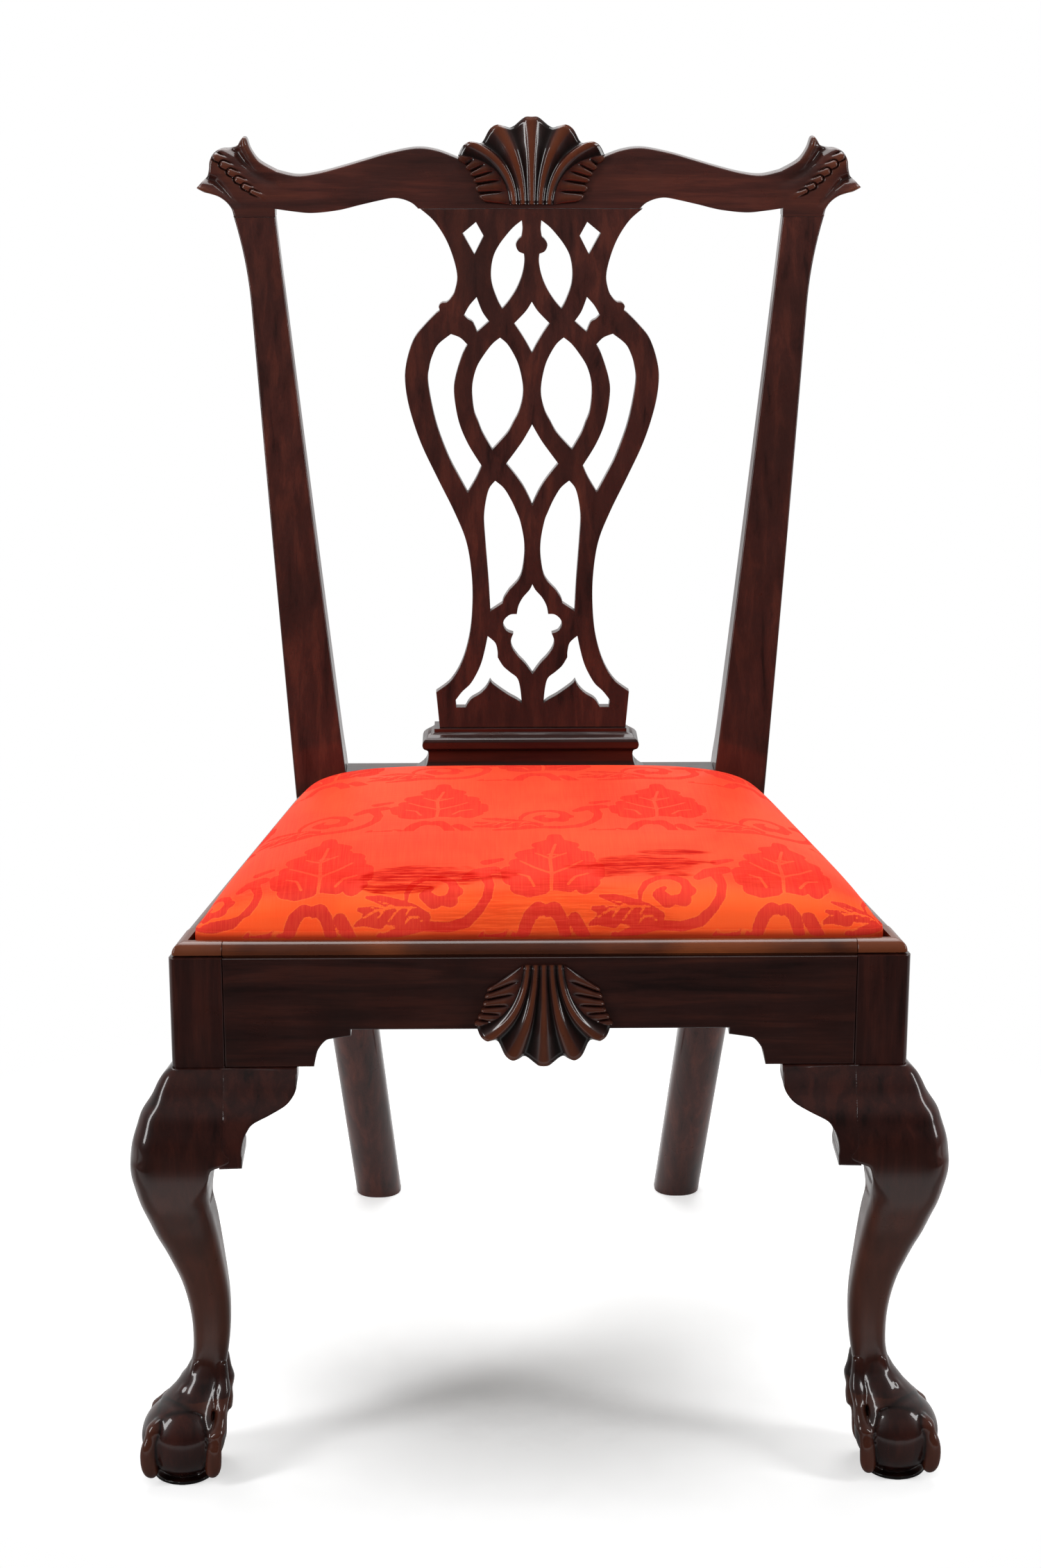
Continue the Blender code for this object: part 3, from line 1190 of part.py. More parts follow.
def make_seat_frame(material, parent):
    """Four members halved together at the corners."""
    front = seat_front(FRAME_INSET)
    back = seat_back(FRAME_INSET)
    wide = FRAME_MEMBER_WIDTH
    middle = (FRAME_FOOT + FRAME_TOP) / 2

    def member(name, corners):
        return make_object("seat_frame_" + name, slab(corners, FRAME_FOOT, FRAME_TOP), material, parent)

    def side_edge(side, y, inside):
        return (side * (seat_x(y, FRAME_INSET) - inside), y)

    for name, y0, y1 in (("front", front, front + wide), ("rear", back - wide, back)):
        near, far = ([side_edge(side, y, 0) for side in (-1, 1)] for y in (y0, y1))
        rail = member(name, near + far[::-1])
        cuts = []
        for side in (-1, 1):
            a, b = y0 - CUT_OVERRUN, y1 + CUT_OVERRUN
            inner = wide + FIT_GAP
            corners = [side_edge(side, a, inner), side_edge(side, a, -CUT_OVERRUN)]
            corners += [side_edge(side, b, -CUT_OVERRUN), side_edge(side, b, inner)]
            upper = slab(corners, middle - FIT_GAP / 2, FRAME_TOP + CUT_OVERRUN)
            cuts.append(make_object("cut", upper, material))
        finish_member(rail, cuts, material)
    for side, word in ((-1, "left"), (1, "right")):
        corners = [side_edge(side, front, wide), side_edge(side, front, 0)]
        corners += [side_edge(side, back, 0), side_edge(side, back, wide)]
        rail = member(word, corners)
        cuts = []
        inner = wide + FIT_GAP
        for y0, y1 in ((front - CUT_OVERRUN, front + inner), (back - inner, back + CUT_OVERRUN)):
            x0 = seat_x(back, FRAME_INSET) - wide - CUT_OVERRUN - (HALF_FRONT - HALF_REAR)
            x1 = seat_x(front, FRAME_INSET) + CUT_OVERRUN
            corners = [(side * x0, y0), (side * x1, y0), (side * x1, y1), (side * x0, y1)]
            lower = slab(corners, FRAME_FOOT - CUT_OVERRUN, middle + FIT_GAP / 2)
            cuts.append(make_object("cut", lower, material))
        finish_member(rail, cuts, material)


def make_webbing(material, parent):
    """Three strips each way, passing over and under each other."""
    front = seat_front(FRAME_INSET)
    back = seat_back(FRAME_INSET)
    inner = FRAME_MEMBER_WIDTH
    rows = [front + inner + (back - front - 2 * inner) * share for share in WEBBING_ROW_SHARES]
    columns = [(seat_x(back, FRAME_INSET) - inner) * share for share in WEBBING_COLUMN_SHARES]
    floor = FRAME_TOP + FIT_GAP
    lift = WEBBING_THICKNESS + FIT_GAP
    half = WEBBING_WIDTH / 2

    def strip(name, ends, crossings, along):
        stations = [(ends[0], 0)]
        for place, over in crossings:
            stations += [(place - half - LAP, 0), (place - half, over)]
            stations += [(place + half, over), (place + half + LAP, 0)]
        stations.append((ends[1], 0))
        rings = []
        for place, over in stations:
            z = floor + over * lift
            top = z + WEBBING_THICKNESS
            rings.append([along(place, s, h) for s, h in ((-half, z), (half, z), (half, top), (-half, top))])
        make_object(name, loft(rings), material, parent)

    for i, y in enumerate(rows):
        reach = seat_x(y + half, FRAME_INSET) - inner + WEBBING_LAP
        crossings = [(x, (i + j) % 2) for j, x in enumerate(columns)]
        name = f"webbing_across_{i + 1}"
        strip(name, (-reach, reach), crossings, lambda place, s, h, y=y: (place, y + s, h))
    for j, x in enumerate(columns):
        ends = (front + inner - WEBBING_LAP, back - inner + WEBBING_LAP)
        crossings = [(y, (i + j + 1) % 2) for i, y in enumerate(rows)]
        strip(f"webbing_along_{j + 1}", ends, crossings, lambda place, s, h, x=x: (x + s, place, h))


def seat_plan(inset, z, steps=9):
    """Slip seat's rounded plan at an inset from the lips, as a ring of points."""
    front = seat_front(inset)
    back = seat_back(inset)
    radius = max(COVER_CORNER - inset, ARRIS_RADIUS)
    ring = []
    corners = ((-1, front, 180), (1, front, 270), (1, back, 0), (-1, back, 90))
    for side, y, start in corners:
        for k in range(4):
            angle = math.radians(start + 90 * k / 3)
            dx = math.cos(angle) - math.copysign(1.0, side)
            dy = math.sin(angle) + (1.0 if y == front else -1.0)
            py = y + radius * dy
            ring.append((side * seat_x(py, inset) + radius * dx, py, z))
    return spread_ring(ring, steps)


def spread_ring(ring, steps):
    """Add points to the four long stretches between the rounded corners."""
    spread = []
    count = len(ring)
    for i, point in enumerate(ring):
        spread.append(point)
        if i % 4 == 3:
            after = ring[(i + 1) % count]
            for k in range(1, steps):
                share = k / steps
                spread.append(tuple(a + (b - a) * share for a, b in zip(point, after)))
    return spread


def crown_ring(share, inset, foot):
    """Ring of the crown at a share of the way from the middle of the seat to its edge."""
    middle = (seat_front(inset) + seat_back(inset)) / 2
    depth = (seat_back(inset) - seat_front(inset)) / 2
    edge = (1 - share ** CROWN_SQUARENESS) ** CROWN_FULLNESS
    ring = []
    for x, y, _ in seat_plan(inset, 0.0):
        px = x * share
        py = middle + (y - middle) * share
        dome = (1 - (px / seat_x(py, inset)) ** 2) * (1 - ((py - middle) / depth) ** 2)
        rise = edge * (CROWN_SHOULDER_SHARE + (1 - CROWN_SHOULDER_SHARE) * dome)
        ring.append((px, py, foot + CROWN_HEIGHT * rise))
    return ring


def make_sackcloth(material, parent):
    inset = FRAME_INSET + FRAME_MEMBER_WIDTH - WEBBING_LAP
    low = CLOTH_FLOOR
    rings = [seat_plan(inset, z) for z in (low, low + SACKCLOTH_THICKNESS)]
    make_object("sackcloth", loft(rings), material, parent)


def make_stuffing(material, parent):
    inset = FRAME_INSET + CROWN_DRAW
    rings = [seat_plan(inset, STUFFING_FLOOR)]
    rings += [crown_ring(share, inset, CROWN_FOOT) for share in reversed(CROWN_RING_SHARES)]
    make_object("stuffing", loft(rings), material, parent)


def make_cover(material, parent):
    """Damask over the crown, down the frame's sides and turned under it."""
    inner = SEAT_CLEARANCE + COVER_THICKNESS
    foot = LEDGE + FIT_GAP
    lining = foot + COVER_THICKNESS
    hem = FRAME_INSET + COVER_HEM
    top = CROWN_FOOT + FIT_GAP
    drawn = SEAT_CLEARANCE + CROWN_DRAW
    edge = FRAME_TOP + FIT_GAP
    rings = [crown_ring(share, drawn, top + COVER_THICKNESS) for share in CROWN_RING_SHARES]
    rings += [seat_plan(SEAT_CLEARANCE, edge), seat_plan(SEAT_CLEARANCE, foot)]
    rings += [seat_plan(hem, foot), seat_plan(hem, lining), seat_plan(inner, lining), seat_plan(inner, edge)]
    rings += [crown_ring(share, drawn + COVER_THICKNESS, top) for share in reversed(CROWN_RING_SHARES)]
    make_object("seat_cover", loft(rings), material, parent)


def main():
    clear_scene()
    mahogany = make_material("mahogany", WOOD, 0.28)
    hidden = make_material("mahogany_unpolished", WOOD_DARK, 0.6)
    pine = make_material("pine", WOOD_PLAIN, 0.7)
    linen = make_material("linen", LINEN, 0.9)
    hair = make_material("horsehair", HAIR, 0.95)
    damask = make_material("damask", DAMASK, 0.6)

    chair = make_empty("chair_origin", (0.0, -CHAIR_CENTRE, 0.0))
    seat = make_empty("slip_seat_origin", (0.0, 0.0, 0.0), chair)

    make_front_rail(mahogany, chair)
    make_seat_shell(mahogany, chair)
    for side, word in ((-1, "left"), (1, "right")):
        make_side_rail("side_rail_" + word, side, mahogany, chair)
        make_rear_post("rear_post_" + word, side, mahogany, chair)
        make_front_leg("front_leg_" + word, side, mahogany, chair)
        make_knee_brackets(side, word, mahogany, chair)
        make_front_block(side, word, hidden, chair)
        make_rear_block(side, word, hidden, chair)
    make_rear_rail(mahogany, chair)
    make_crest_rail(mahogany, chair)
    make_splat(mahogany, chair)
    make_shoe(mahogany, chair)

    make_seat_frame(pine, seat)
    make_webbing(linen, seat)
    make_sackcloth(linen, seat)
    make_stuffing(hair, seat)
    make_cover(damask, seat)


main()
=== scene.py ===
"""Looks of a carved side chair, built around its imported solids. Lengths are in metres."""
import math

import bmesh
import bpy
import numpy as np
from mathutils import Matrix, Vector
from mathutils.geometry import delaunay_2d_cdt


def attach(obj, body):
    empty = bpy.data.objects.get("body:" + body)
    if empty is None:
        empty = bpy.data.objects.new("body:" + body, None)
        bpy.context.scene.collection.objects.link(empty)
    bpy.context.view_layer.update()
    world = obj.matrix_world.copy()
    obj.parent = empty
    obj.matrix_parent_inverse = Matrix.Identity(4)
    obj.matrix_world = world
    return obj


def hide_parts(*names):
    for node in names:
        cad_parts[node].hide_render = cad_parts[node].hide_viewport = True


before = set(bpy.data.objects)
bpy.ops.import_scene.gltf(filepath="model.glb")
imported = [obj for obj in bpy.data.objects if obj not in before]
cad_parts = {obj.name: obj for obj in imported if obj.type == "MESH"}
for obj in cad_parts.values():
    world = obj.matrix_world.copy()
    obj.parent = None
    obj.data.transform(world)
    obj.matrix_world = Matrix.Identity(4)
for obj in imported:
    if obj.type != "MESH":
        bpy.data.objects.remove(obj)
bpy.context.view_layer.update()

# Sizes of the solids. Inside this script y = 0 is the front rail's face, CENTRE then shifts it.
CENTRE = 0.26975
GAP = 0.0003
HALF_FRONT, HALF_REAR, DEPTH = 0.282, 0.2075, 0.412
FACE_TOP, FOOT, RISE, THICK = 0.4325, 0.345, 0.030, 0.032
LIP, LIP_RISE, QUIRK = 0.0125, 0.011, 0.0022
LEDGE, LIP_TOP = 0.424, 0.4435
ARCH, STEP = 0.144, 0.029
REAR_TOP = 0.458
POST = 0.0415
KNEE_REACH, KNEE_WIDTH, ANKLE = 0.0315, 0.072, 0.028
BALL, BALL_H, INSET = 0.033, 0.0655, 0.0035
BR_LEN, BR_H, BR_BACK = 0.055, 0.0706, 0.014
JOINT, CREST_H, EAR = 0.937, 0.067, 0.032
STILE_OUT, STILE_W = 0.2565, 0.036
SPLAT_TOP_HALF, SPLAT_HALF, SPLAT_T = 0.0965, 0.111, 0.011
UNDER_RISE = 0.0158
SPLAT_TOP = JOINT + 0.443 * UNDER_RISE
SHOE_HALF, SHOE_SWELL, SHOE_H = 0.085, 0.0105, 0.040
SHOE_TOP = REAR_TOP + GAP + SHOE_H
TAPER = (HALF_FRONT - HALF_REAR) / DEPTH
CLEAR = 0.0012
BALL_Z = BALL_H - BALL
SEAT_REAR = DEPTH - 0.0045
REAR_LEG_BEND = 0.365
FAN = 1.25
SIDES = ((-1, "left"), (1, "right"))
NORMAL_WEIGHT = 80
COARSE = 0.02
WALL_DARK = 0.6


# Curves

def run(points, steps):
    if len(points) == 2:
        return [points[0]]
    found = []
    for i in range(len(points) - 1):
        a, b, c = points[max(i - 1, 0)], points[i], points[i + 1]
        d = points[min(i + 2, len(points) - 1)]
        for k in range(steps):
            t = k / steps
            found.append(tuple(
                0.5 * (2 * q + (r - p) * t + (2 * p - 5 * q + 4 * r - s) * t * t + (3 * q - p - 3 * r + s) * t ** 3)
                for p, q, r, s in zip(a, b, c, d)))
    return found


def outline_of(runs, steps):
    """Points of an outline in smooth runs; each run after the first starts where the one before ended."""
    found, start = [], ()
    for points in runs:
        found += run([*start, *points], steps)
        start = points[-1:]
    return found


def table(rows, t):
    """Smooth values at t of rows that start with their own t."""
    rows = np.asarray(rows, float)
    x, y = rows[:, 0], rows[:, 1:]
    if x[0] > x[-1]:
        x, y = x[::-1], y[::-1]
    m = np.gradient(y, x, axis=0)
    t = np.clip(np.asarray(t, float), x[0], x[-1])
    i = np.clip(np.searchsorted(x, t, side="right") - 1, 0, len(x) - 2)
    h = x[i + 1] - x[i]
    s = ((t - x[i]) / h)[..., None]
    h = h[..., None]
    return ((2 * s ** 3 - 3 * s ** 2 + 1) * y[i] + (s ** 3 - 2 * s ** 2 + s) * h * m[i]
            + (-2 * s ** 3 + 3 * s ** 2) * y[i + 1] + (s ** 3 - s ** 2) * h * m[i + 1])


def ease(s):
    s = np.clip(s, 0.0, 1.0)
    return s * s * (3 - 2 * s)


def mirrored(half):
    return half + [(-x, z) for x, z in reversed(half) if x > 1e-9]


def back_face(z):
    z = np.asarray(z, float)
    share = (z - FACE_TOP) / (JOINT - FACE_TOP)
    drop = np.maximum(1 - z / REAR_LEG_BEND, 0.0)
    low = DEPTH + 0.114 * 1.06 * drop * drop / (drop + 0.06)
    return np.where(share < 0, low, DEPTH + 0.0605 * share + 0.025 * share * share)


def post_sides(z):
    def line(foot, seat, bend, top):
        slope = (seat - foot) / FACE_TOP
        if z <= bend:
            return foot + slope * z
        start = foot + slope * bend
        return start + (top - start) * (z - bend) / (JOINT - bend)
    flare = max(0.0, 1 - (JOINT - z) / 0.075)
    inner_foot = (0.289 - 0.0425) / 2
    return (line(inner_foot, HALF_REAR - 0.046, REAR_TOP, STILE_OUT - STILE_W),
            line(inner_foot + 0.0425, HALF_REAR, FACE_TOP, STILE_OUT - 0.0085) + 0.0085 * flare * flare)


def side_x(y, z, inset=0.0):
    taper = (HALF_FRONT - post_sides(z)[1]) / DEPTH
    return HALF_FRONT - taper * y - inset * math.sqrt(1 + taper * taper)


# Meshes

def linked(obj):
    bpy.context.scene.collection.objects.link(obj)
    return obj


def bare(name, verts, faces, floats=None):
    """An object from points, faces and float attributes of its points."""
    mesh = bpy.data.meshes.new(name)
    mesh.from_pydata(np.asarray(verts, float).tolist(), [], [list(map(int, f)) for f in faces])
    mesh.update()
    paint(mesh, floats or {})
    return linked(bpy.data.objects.new(name, mesh))


def paint(mesh, floats):
    for key, values in floats.items():
        layer = mesh.attributes.new(key, "FLOAT", "POINT")
        layer.data.foreach_set("value", np.asarray(values, np.float32).ravel())


def coordinates(mesh):
    co = np.empty(len(mesh.vertices) * 3)
    mesh.vertices.foreach_get("co", co)
    return co.reshape(-1, 3)


def realised(obj, *others):
    """The mesh of an object with its modifiers applied; the objects go."""
    mesh = bpy.data.meshes.new_from_object(obj.evaluated_get(bpy.context.evaluated_depsgraph_get()))
    for each in (obj, *others):
        bpy.data.objects.remove(each, do_unlink=True)
    return mesh


def add(name, verts, faces, material, replaces, sharp=40, weighted=True, body="chair_frame", slot="mahogany",
        floats=None):
    """A finished piece: smooth but for edges over the sharp angle, in degrees."""
    verts = np.array(verts, float).reshape(-1, 3)
    verts[:, 1] -= CENTRE
    obj = bare(name, verts, faces, floats)
    obj.data.materials.append(material)
    obj.data.shade_smooth()
    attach(obj, body)
    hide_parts(*replaces)
    if sharp:
        obj.data.set_sharp_from_angle(angle=math.radians(sharp))
    if sharp and weighted:
        mod = obj.modifiers.new("normals", "WEIGHTED_NORMAL")
        mod.keep_sharp = True
        mod.weight = NORMAL_WEIGHT
    return obj


def ring_faces(rows, count):
    return [(r * count + i, r * count + j, (r + 1) * count + j, (r + 1) * count + i)
            for r in range(rows - 1) for i, j in zip(range(count), [*range(1, count), 0])]


def grid_of(low, high, columns, rows):
    """Two arrays over a grid: one from low to high by column, one from 0 to 1 by row."""
    return np.meshgrid(np.linspace(low, high, columns), np.linspace(0, 1, rows), indexing="ij")


def grid_faces(columns, rows, start=0):
    corners = [start + i * rows + j for i in range(columns - 1) for j in range(rows - 1)]
    return [(k, k + rows, k + rows + 1, k + 1) for k in corners]


def loft(rings):
    rings = [np.asarray(r, float) for r in rings]
    count = len(rings[0])
    faces = ring_faces(len(rings), count)
    faces.append(tuple(range(count))[::-1])
    faces.append(tuple((len(rings) - 1) * count + i for i in range(count)))
    return np.concatenate(rings), faces


def built(verts, faces, merge, **layers):
    """A bmesh with float layers on its points; points closer than merge become one."""
    bm = bmesh.new()
    keys = [bm.verts.layers.float.new(name) for name in layers]
    made = []
    for v, *values in zip(verts, *layers.values()):
        made.append(bm.verts.new(v))
        for key, value in zip(keys, values):
            made[-1][key] = value
    for f in faces:
        bm.faces.new([made[i] for i in f])
    if merge:
        bmesh.ops.remove_doubles(bm, verts=bm.verts, dist=merge)
    return bm


def taken(bm, outwards=True):
    """Points, faces and float layers of a bmesh, which then goes."""
    if outwards:
        bmesh.ops.recalc_face_normals(bm, faces=bm.faces)
    bm.verts.index_update()
    found = (np.array([tuple(v.co) for v in bm.verts]), [[v.index for v in f.verts] for f in bm.faces],
             *[np.array([v[layer] for v in bm.verts]) for layer in bm.verts.layers.float.values()])
    bm.free()
    return found


def outward(verts, faces, merge=1e-7):
    """Faces turned to point outwards on a closed shape."""
    return taken(built(verts, faces, merge))


def prism(outline, first, second):
    return loft([[first(*p) for p in outline], [second(*p) for p in outline]])


def rounded_ring(low, high, z, radii, steps):
    (x0, y0), (x1, y1) = low, high
    corners = ((x0, y0, 1, 1, 180), (x1, y0, -1, 1, 270), (x1, y1, -1, -1, 0), (x0, y1, 1, -1, 90))
    ring = []
    for (x, y, sx, sy, start), radius in zip(corners, radii):
        for k in range(steps + 1):
            angle = math.radians(start + 90 * k / steps)
            ring.append((x + radius * (sx + math.cos(angle)), y + radius * (sy + math.sin(angle)), z))
    return ring


def points_of(mesh):
    """Points and faces of a mesh, which then goes."""
    found = coordinates(mesh), [list(p.vertices) for p in mesh.polygons]
    bpy.data.meshes.remove(mesh)
    return found


def difference(target, tool):
    """One closed shape less another, each as points and faces."""
    target, tool = (bare("tool", *outward(*shape)) for shape in (target, tool))
    mod = target.modifiers.new("cut", "BOOLEAN")
    mod.operation, mod.solver, mod.object = "DIFFERENCE", "EXACT", tool
    return points_of(realised(target, tool))


def inside_loops(points, loops):
    """True for points inside the first loop and outside the others, by crossings."""
    count = np.zeros(len(points), int)
    for loop in loops:
        for (x0, z0), (x1, z1) in zip(loop, np.roll(loop, -1, axis=0)):
            if z0 == z1:
                continue
            near = np.nonzero((points[:, 1] > min(z0, z1)) & (points[:, 1] <= max(z0, z1)))[0]
            x = x0 + (points[near, 1] - z0) * (x1 - x0) / (z1 - z0)
            count[near] += x > points[near, 0]
    return count % 2 == 1


def rounded_plate(outline, holes, front, back, edge, back_edge, cell, steps=4, fine=None):
    """Solid between two curved faces drawn in X and Z, with rounded edges.

    fine is (low corner, high corner, spacing) of a region that gets a fine front on both sides.
    An edge radius may be a function of the outline's points.
    Returns points, faces and a flag that is 1 on the front.
    """
    loops = []
    for k, loop in enumerate([outline, *holes]):
        pts = np.array(loop, float)
        pts = pts[np.linalg.norm(pts - np.roll(pts, 1, axis=0), axis=1) > 1e-5]
        nxt = np.roll(pts, -1, axis=0)
        area = 0.5 * np.sum(pts[:, 0] * nxt[:, 1] - nxt[:, 0] * pts[:, 1])
        loops.append(pts[::-1] if (area > 0) != (k == 0) else pts)

    def inset(pts, distance):
        a = pts - np.roll(pts, 1, axis=0)
        b = np.roll(a, -1, axis=0)
        a = a / np.linalg.norm(a, axis=1)[:, None]
        b = b / np.linalg.norm(b, axis=1)[:, None]
        na, nb = np.stack([-a[:, 1], a[:, 0]], axis=1), np.stack([-b[:, 1], b[:, 0]], axis=1)
        n = na + nb
        n /= np.maximum(np.linalg.norm(n, axis=1)[:, None], 1e-6)
        return pts + n * (distance / np.clip(np.sum(n * na, axis=1), 0.6, 1.0))[:, None]

    turn = [math.pi / 2 * k / steps for k in range(steps + 1)]
    rings = [(1 - math.sin(a), 1 - math.cos(a), 1) for a in turn]
    rings += [(1 - math.cos(a), 1 - math.sin(a), 0) for a in turn]

    verts, faces, flags, caps = [], [], [], ([], [])

    def lay(pts, behind, depth=0.0):
        """Puts points of the plan on the front or the back, this deep under it."""
        y = (back if behind else front)(pts[:, 0], pts[:, 1]) + (-depth if behind else depth)
        verts.append(np.stack([pts[:, 0], y, pts[:, 1]], axis=1))
        flags.append(np.full(len(pts), 0.0 if behind else 1.0))

    # On the back the rings run from the flat face outwards, on the front from the side inwards
    for pts in loops:
        start = sum(len(v) for v in verts)
        radii = [r(pts) if callable(r) else np.full(len(pts), r) for r in (edge, back_edge)]
        for number, (inward, depth, behind) in enumerate(rings):
            moved = inset(pts, inward * radii[behind])
            lay(moved, behind, depth * radii[behind])
            if number == 0:
                caps[1].append(moved)
            if number == len(rings) - 1:
                caps[0].append(moved)
        faces += [[start + i for i in f] for f in ring_faces(len(rings), len(pts))]
    for behind in (0, 1):
        rim = np.concatenate(caps[behind])
        links, at = [], 0
        for loop in caps[behind]:
            links += [(at + i, at + (i + 1) % len(loop)) for i in range(len(loop))]
            at += len(loop)
        (x0, z0), (x1, z1) = rim.min(axis=0), rim.max(axis=0)
        clouds = [(cell, 0.35 * cell, None)]
        if fine and not behind:
            clouds.append((fine[2], 0.6 * fine[2], fine))
        inner = []
        for pitch, gap, region in clouds:
            gx, gz = np.meshgrid(np.arange(x0 + pitch / 2, x1, pitch), np.arange(z0 + pitch / 2, z1, pitch))
            g = np.stack([gx.ravel(), gz.ravel()], axis=1)
            ax = np.abs(g[:, 0])
            if fine and not behind:
                (fx0, fz0), (fx1, fz1), _ = fine
                within = (ax > fx0) & (ax < fx1) & (g[:, 1] > fz0) & (g[:, 1] < fz1)
                g = g[within if region else ~within]
            near = np.full(len(g), 1e9)
            for k in range(0, len(rim), 64):
                d = g[:, None, :] - rim[None, k:k + 64, :]
                near = np.minimum(near, np.sqrt(np.min(np.sum(d * d, axis=2), axis=1)))
            inner.append(g[near > gap])
        every = np.concatenate([rim, *inner])
        co, _, tris = delaunay_2d_cdt([Vector(p) for p in every], links, [], 1, 1e-7)[:3]
        co = np.array([tuple(c) for c in co])
        tris = np.array(tris)
        tris = tris[inside_loops(co[tris].mean(axis=1), caps[behind])]
        start = sum(len(v) for v in verts)
        lay(co, behind)
        faces += [[start + int(i) for i in (t if not behind else t[::-1])] for t in tris]
    bm = built(np.concatenate(verts), faces, 2e-6, flag=np.concatenate(flags))
    bmesh.ops.delete(bm, geom=[v for v in bm.verts if not v.link_faces], context="VERTS")
    return taken(bm)


# Materials

class Nodes:
    """Small helper for the node tree of a new material, or for one that is handed in."""

    def __init__(self, name, tree=None):
        if tree is None:
            self.material = bpy.data.materials.new(name)
            self.material.use_nodes = True
            tree = self.material.node_tree
            self.bsdf = tree.nodes["Principled BSDF"]
        self.tree = tree
        self.coords = self.new("ShaderNodeTexCoord").outputs

    def put(self, target, value):
        if isinstance(value, bpy.types.NodeSocket):
            self.tree.links.new(value, target)
        else:
            target.default_value = value

    def new(self, kind, inputs=None, **values):
        """A node with these properties, whose inputs are linked or set by name or number."""
        node = self.tree.nodes.new(kind)
        for key, value in values.items():
            setattr(node, key, value)
        for key, value in (inputs or {}).items():
            self.put(node.inputs[key], value)
        return node

    def mapping(self, scale, location=(0, 0, 0)):
        return self.new("ShaderNodeMapping", {"Vector": self.coords["Object"], "Scale": scale,
                                              "Location": location}).outputs["Vector"]

    def noise(self, scale, location=(0, 0, 0), detail=4.0, rough=0.55, distortion=0.0):
        """Noise over the object's own coordinates times a scale for each axis."""
        inputs = {"Scale": 1.0, "Detail": detail, "Roughness": rough, "Distortion": distortion}
        return self.new("ShaderNodeTexNoise", {"Vector": self.mapping(scale, location), **inputs}).outputs["Fac"]

    def ramp(self, value, stops):
        node = self.new("ShaderNodeValToRGB", {"Fac": value})
        node.color_ramp.interpolation = "EASE"
        elements = node.color_ramp.elements
        while len(elements) < len(stops):
            elements.new(0.5)
        for element, (place, colour) in zip(elements, stops):
            element.position, element.color = place, (*colour, 1.0)
        return node.outputs["Color"]

    def span(self, value, low, high, to_low=0.0, to_high=1.0, smooth=False):
        """The value's way from low to high, carried over to another range and clamped."""
        ends = {"From Min": low, "From Max": high, "To Min": to_low, "To Max": to_high}
        return self.new("ShaderNodeMapRange", {"Value": value, **ends},
                        interpolation_type="SMOOTHSTEP" if smooth else "LINEAR").outputs["Result"]

    def soft(self, value, low, high, to_low=0.0, to_high=1.0):
        return self.span(value, low, high, to_low, to_high, True)

    def math(self, op, *values):
        return self.new("ShaderNodeMath", dict(enumerate(values)), operation=op).outputs[0]

    def times(self, a, b):
        return self.math("MULTIPLY", a, b)

    def plus(self, a, b):
        return self.math("ADD", a, b)

    def less(self, a, b):
        return self.math("SUBTRACT", a, b)

    def most(self, a, b):
        return self.math("MAXIMUM", a, b)

    def axes(self, vector):
        return self.new("ShaderNodeSeparateXYZ", {0: vector}).outputs

    def distance(self, scale, location):
        """Distance from a place, with a scale for each axis."""
        vector = self.mapping(scale, location)
        return self.new("ShaderNodeVectorMath", {0: vector}, operation="LENGTH").outputs["Value"]

    def mix(self, factor, a, b):
        """A colour between two; a Mix node's colour sockets come after its float and vector ones."""
        a, b = ((*c, 1.0) if isinstance(c, tuple) else c for c in (a, b))
        return self.new("ShaderNodeMix", {"Factor": factor, 6: a, 7: b}, data_type="RGBA").outputs[2]

    def bump(self, height, distance, strength, normal=None):
        under = {"Normal": normal} if normal else {}
        return self.new("ShaderNodeBump", {"Height": height, "Distance": distance, "Strength": strength,
                                           **under}).outputs["Normal"]

    def attribute(self, name):
        return self.new("ShaderNodeAttribute", attribute_name=name).outputs["Fac"]

    def base(self, colour, rough, **values):
        """Values on the surface shader's own sockets."""
        for key, value in {"Base_Color": colour, "Roughness": rough, **values}.items():
            self.put(self.bsdf.inputs[key.replace("_", " ")], value)
        return self.material


def stretched(axis, along, across):
    """Noise scales for grain that runs along an axis."""
    return tuple(along if a == axis else across for a in "xyz")


WOOD_STOPS = ((0.28, (0.0125, 0.0042, 0.0036)), (0.46, (0.031, 0.0088, 0.0068)), (0.62, (0.050, 0.0130, 0.0088)),
              (0.8, (0.082, 0.0210, 0.0115)))
WOOD_BLOTCH, WOOD_PORE, WOOD_HOLLOW = (0.013, 0.0052, 0.0042), (0.006, 0.003, 0.0026), (0.0035, 0.0016, 0.0013)
WOOD_GOLD, WOOD_RIDGE = (0.24, 0.058, 0.014), (0.130, 0.034, 0.0130)


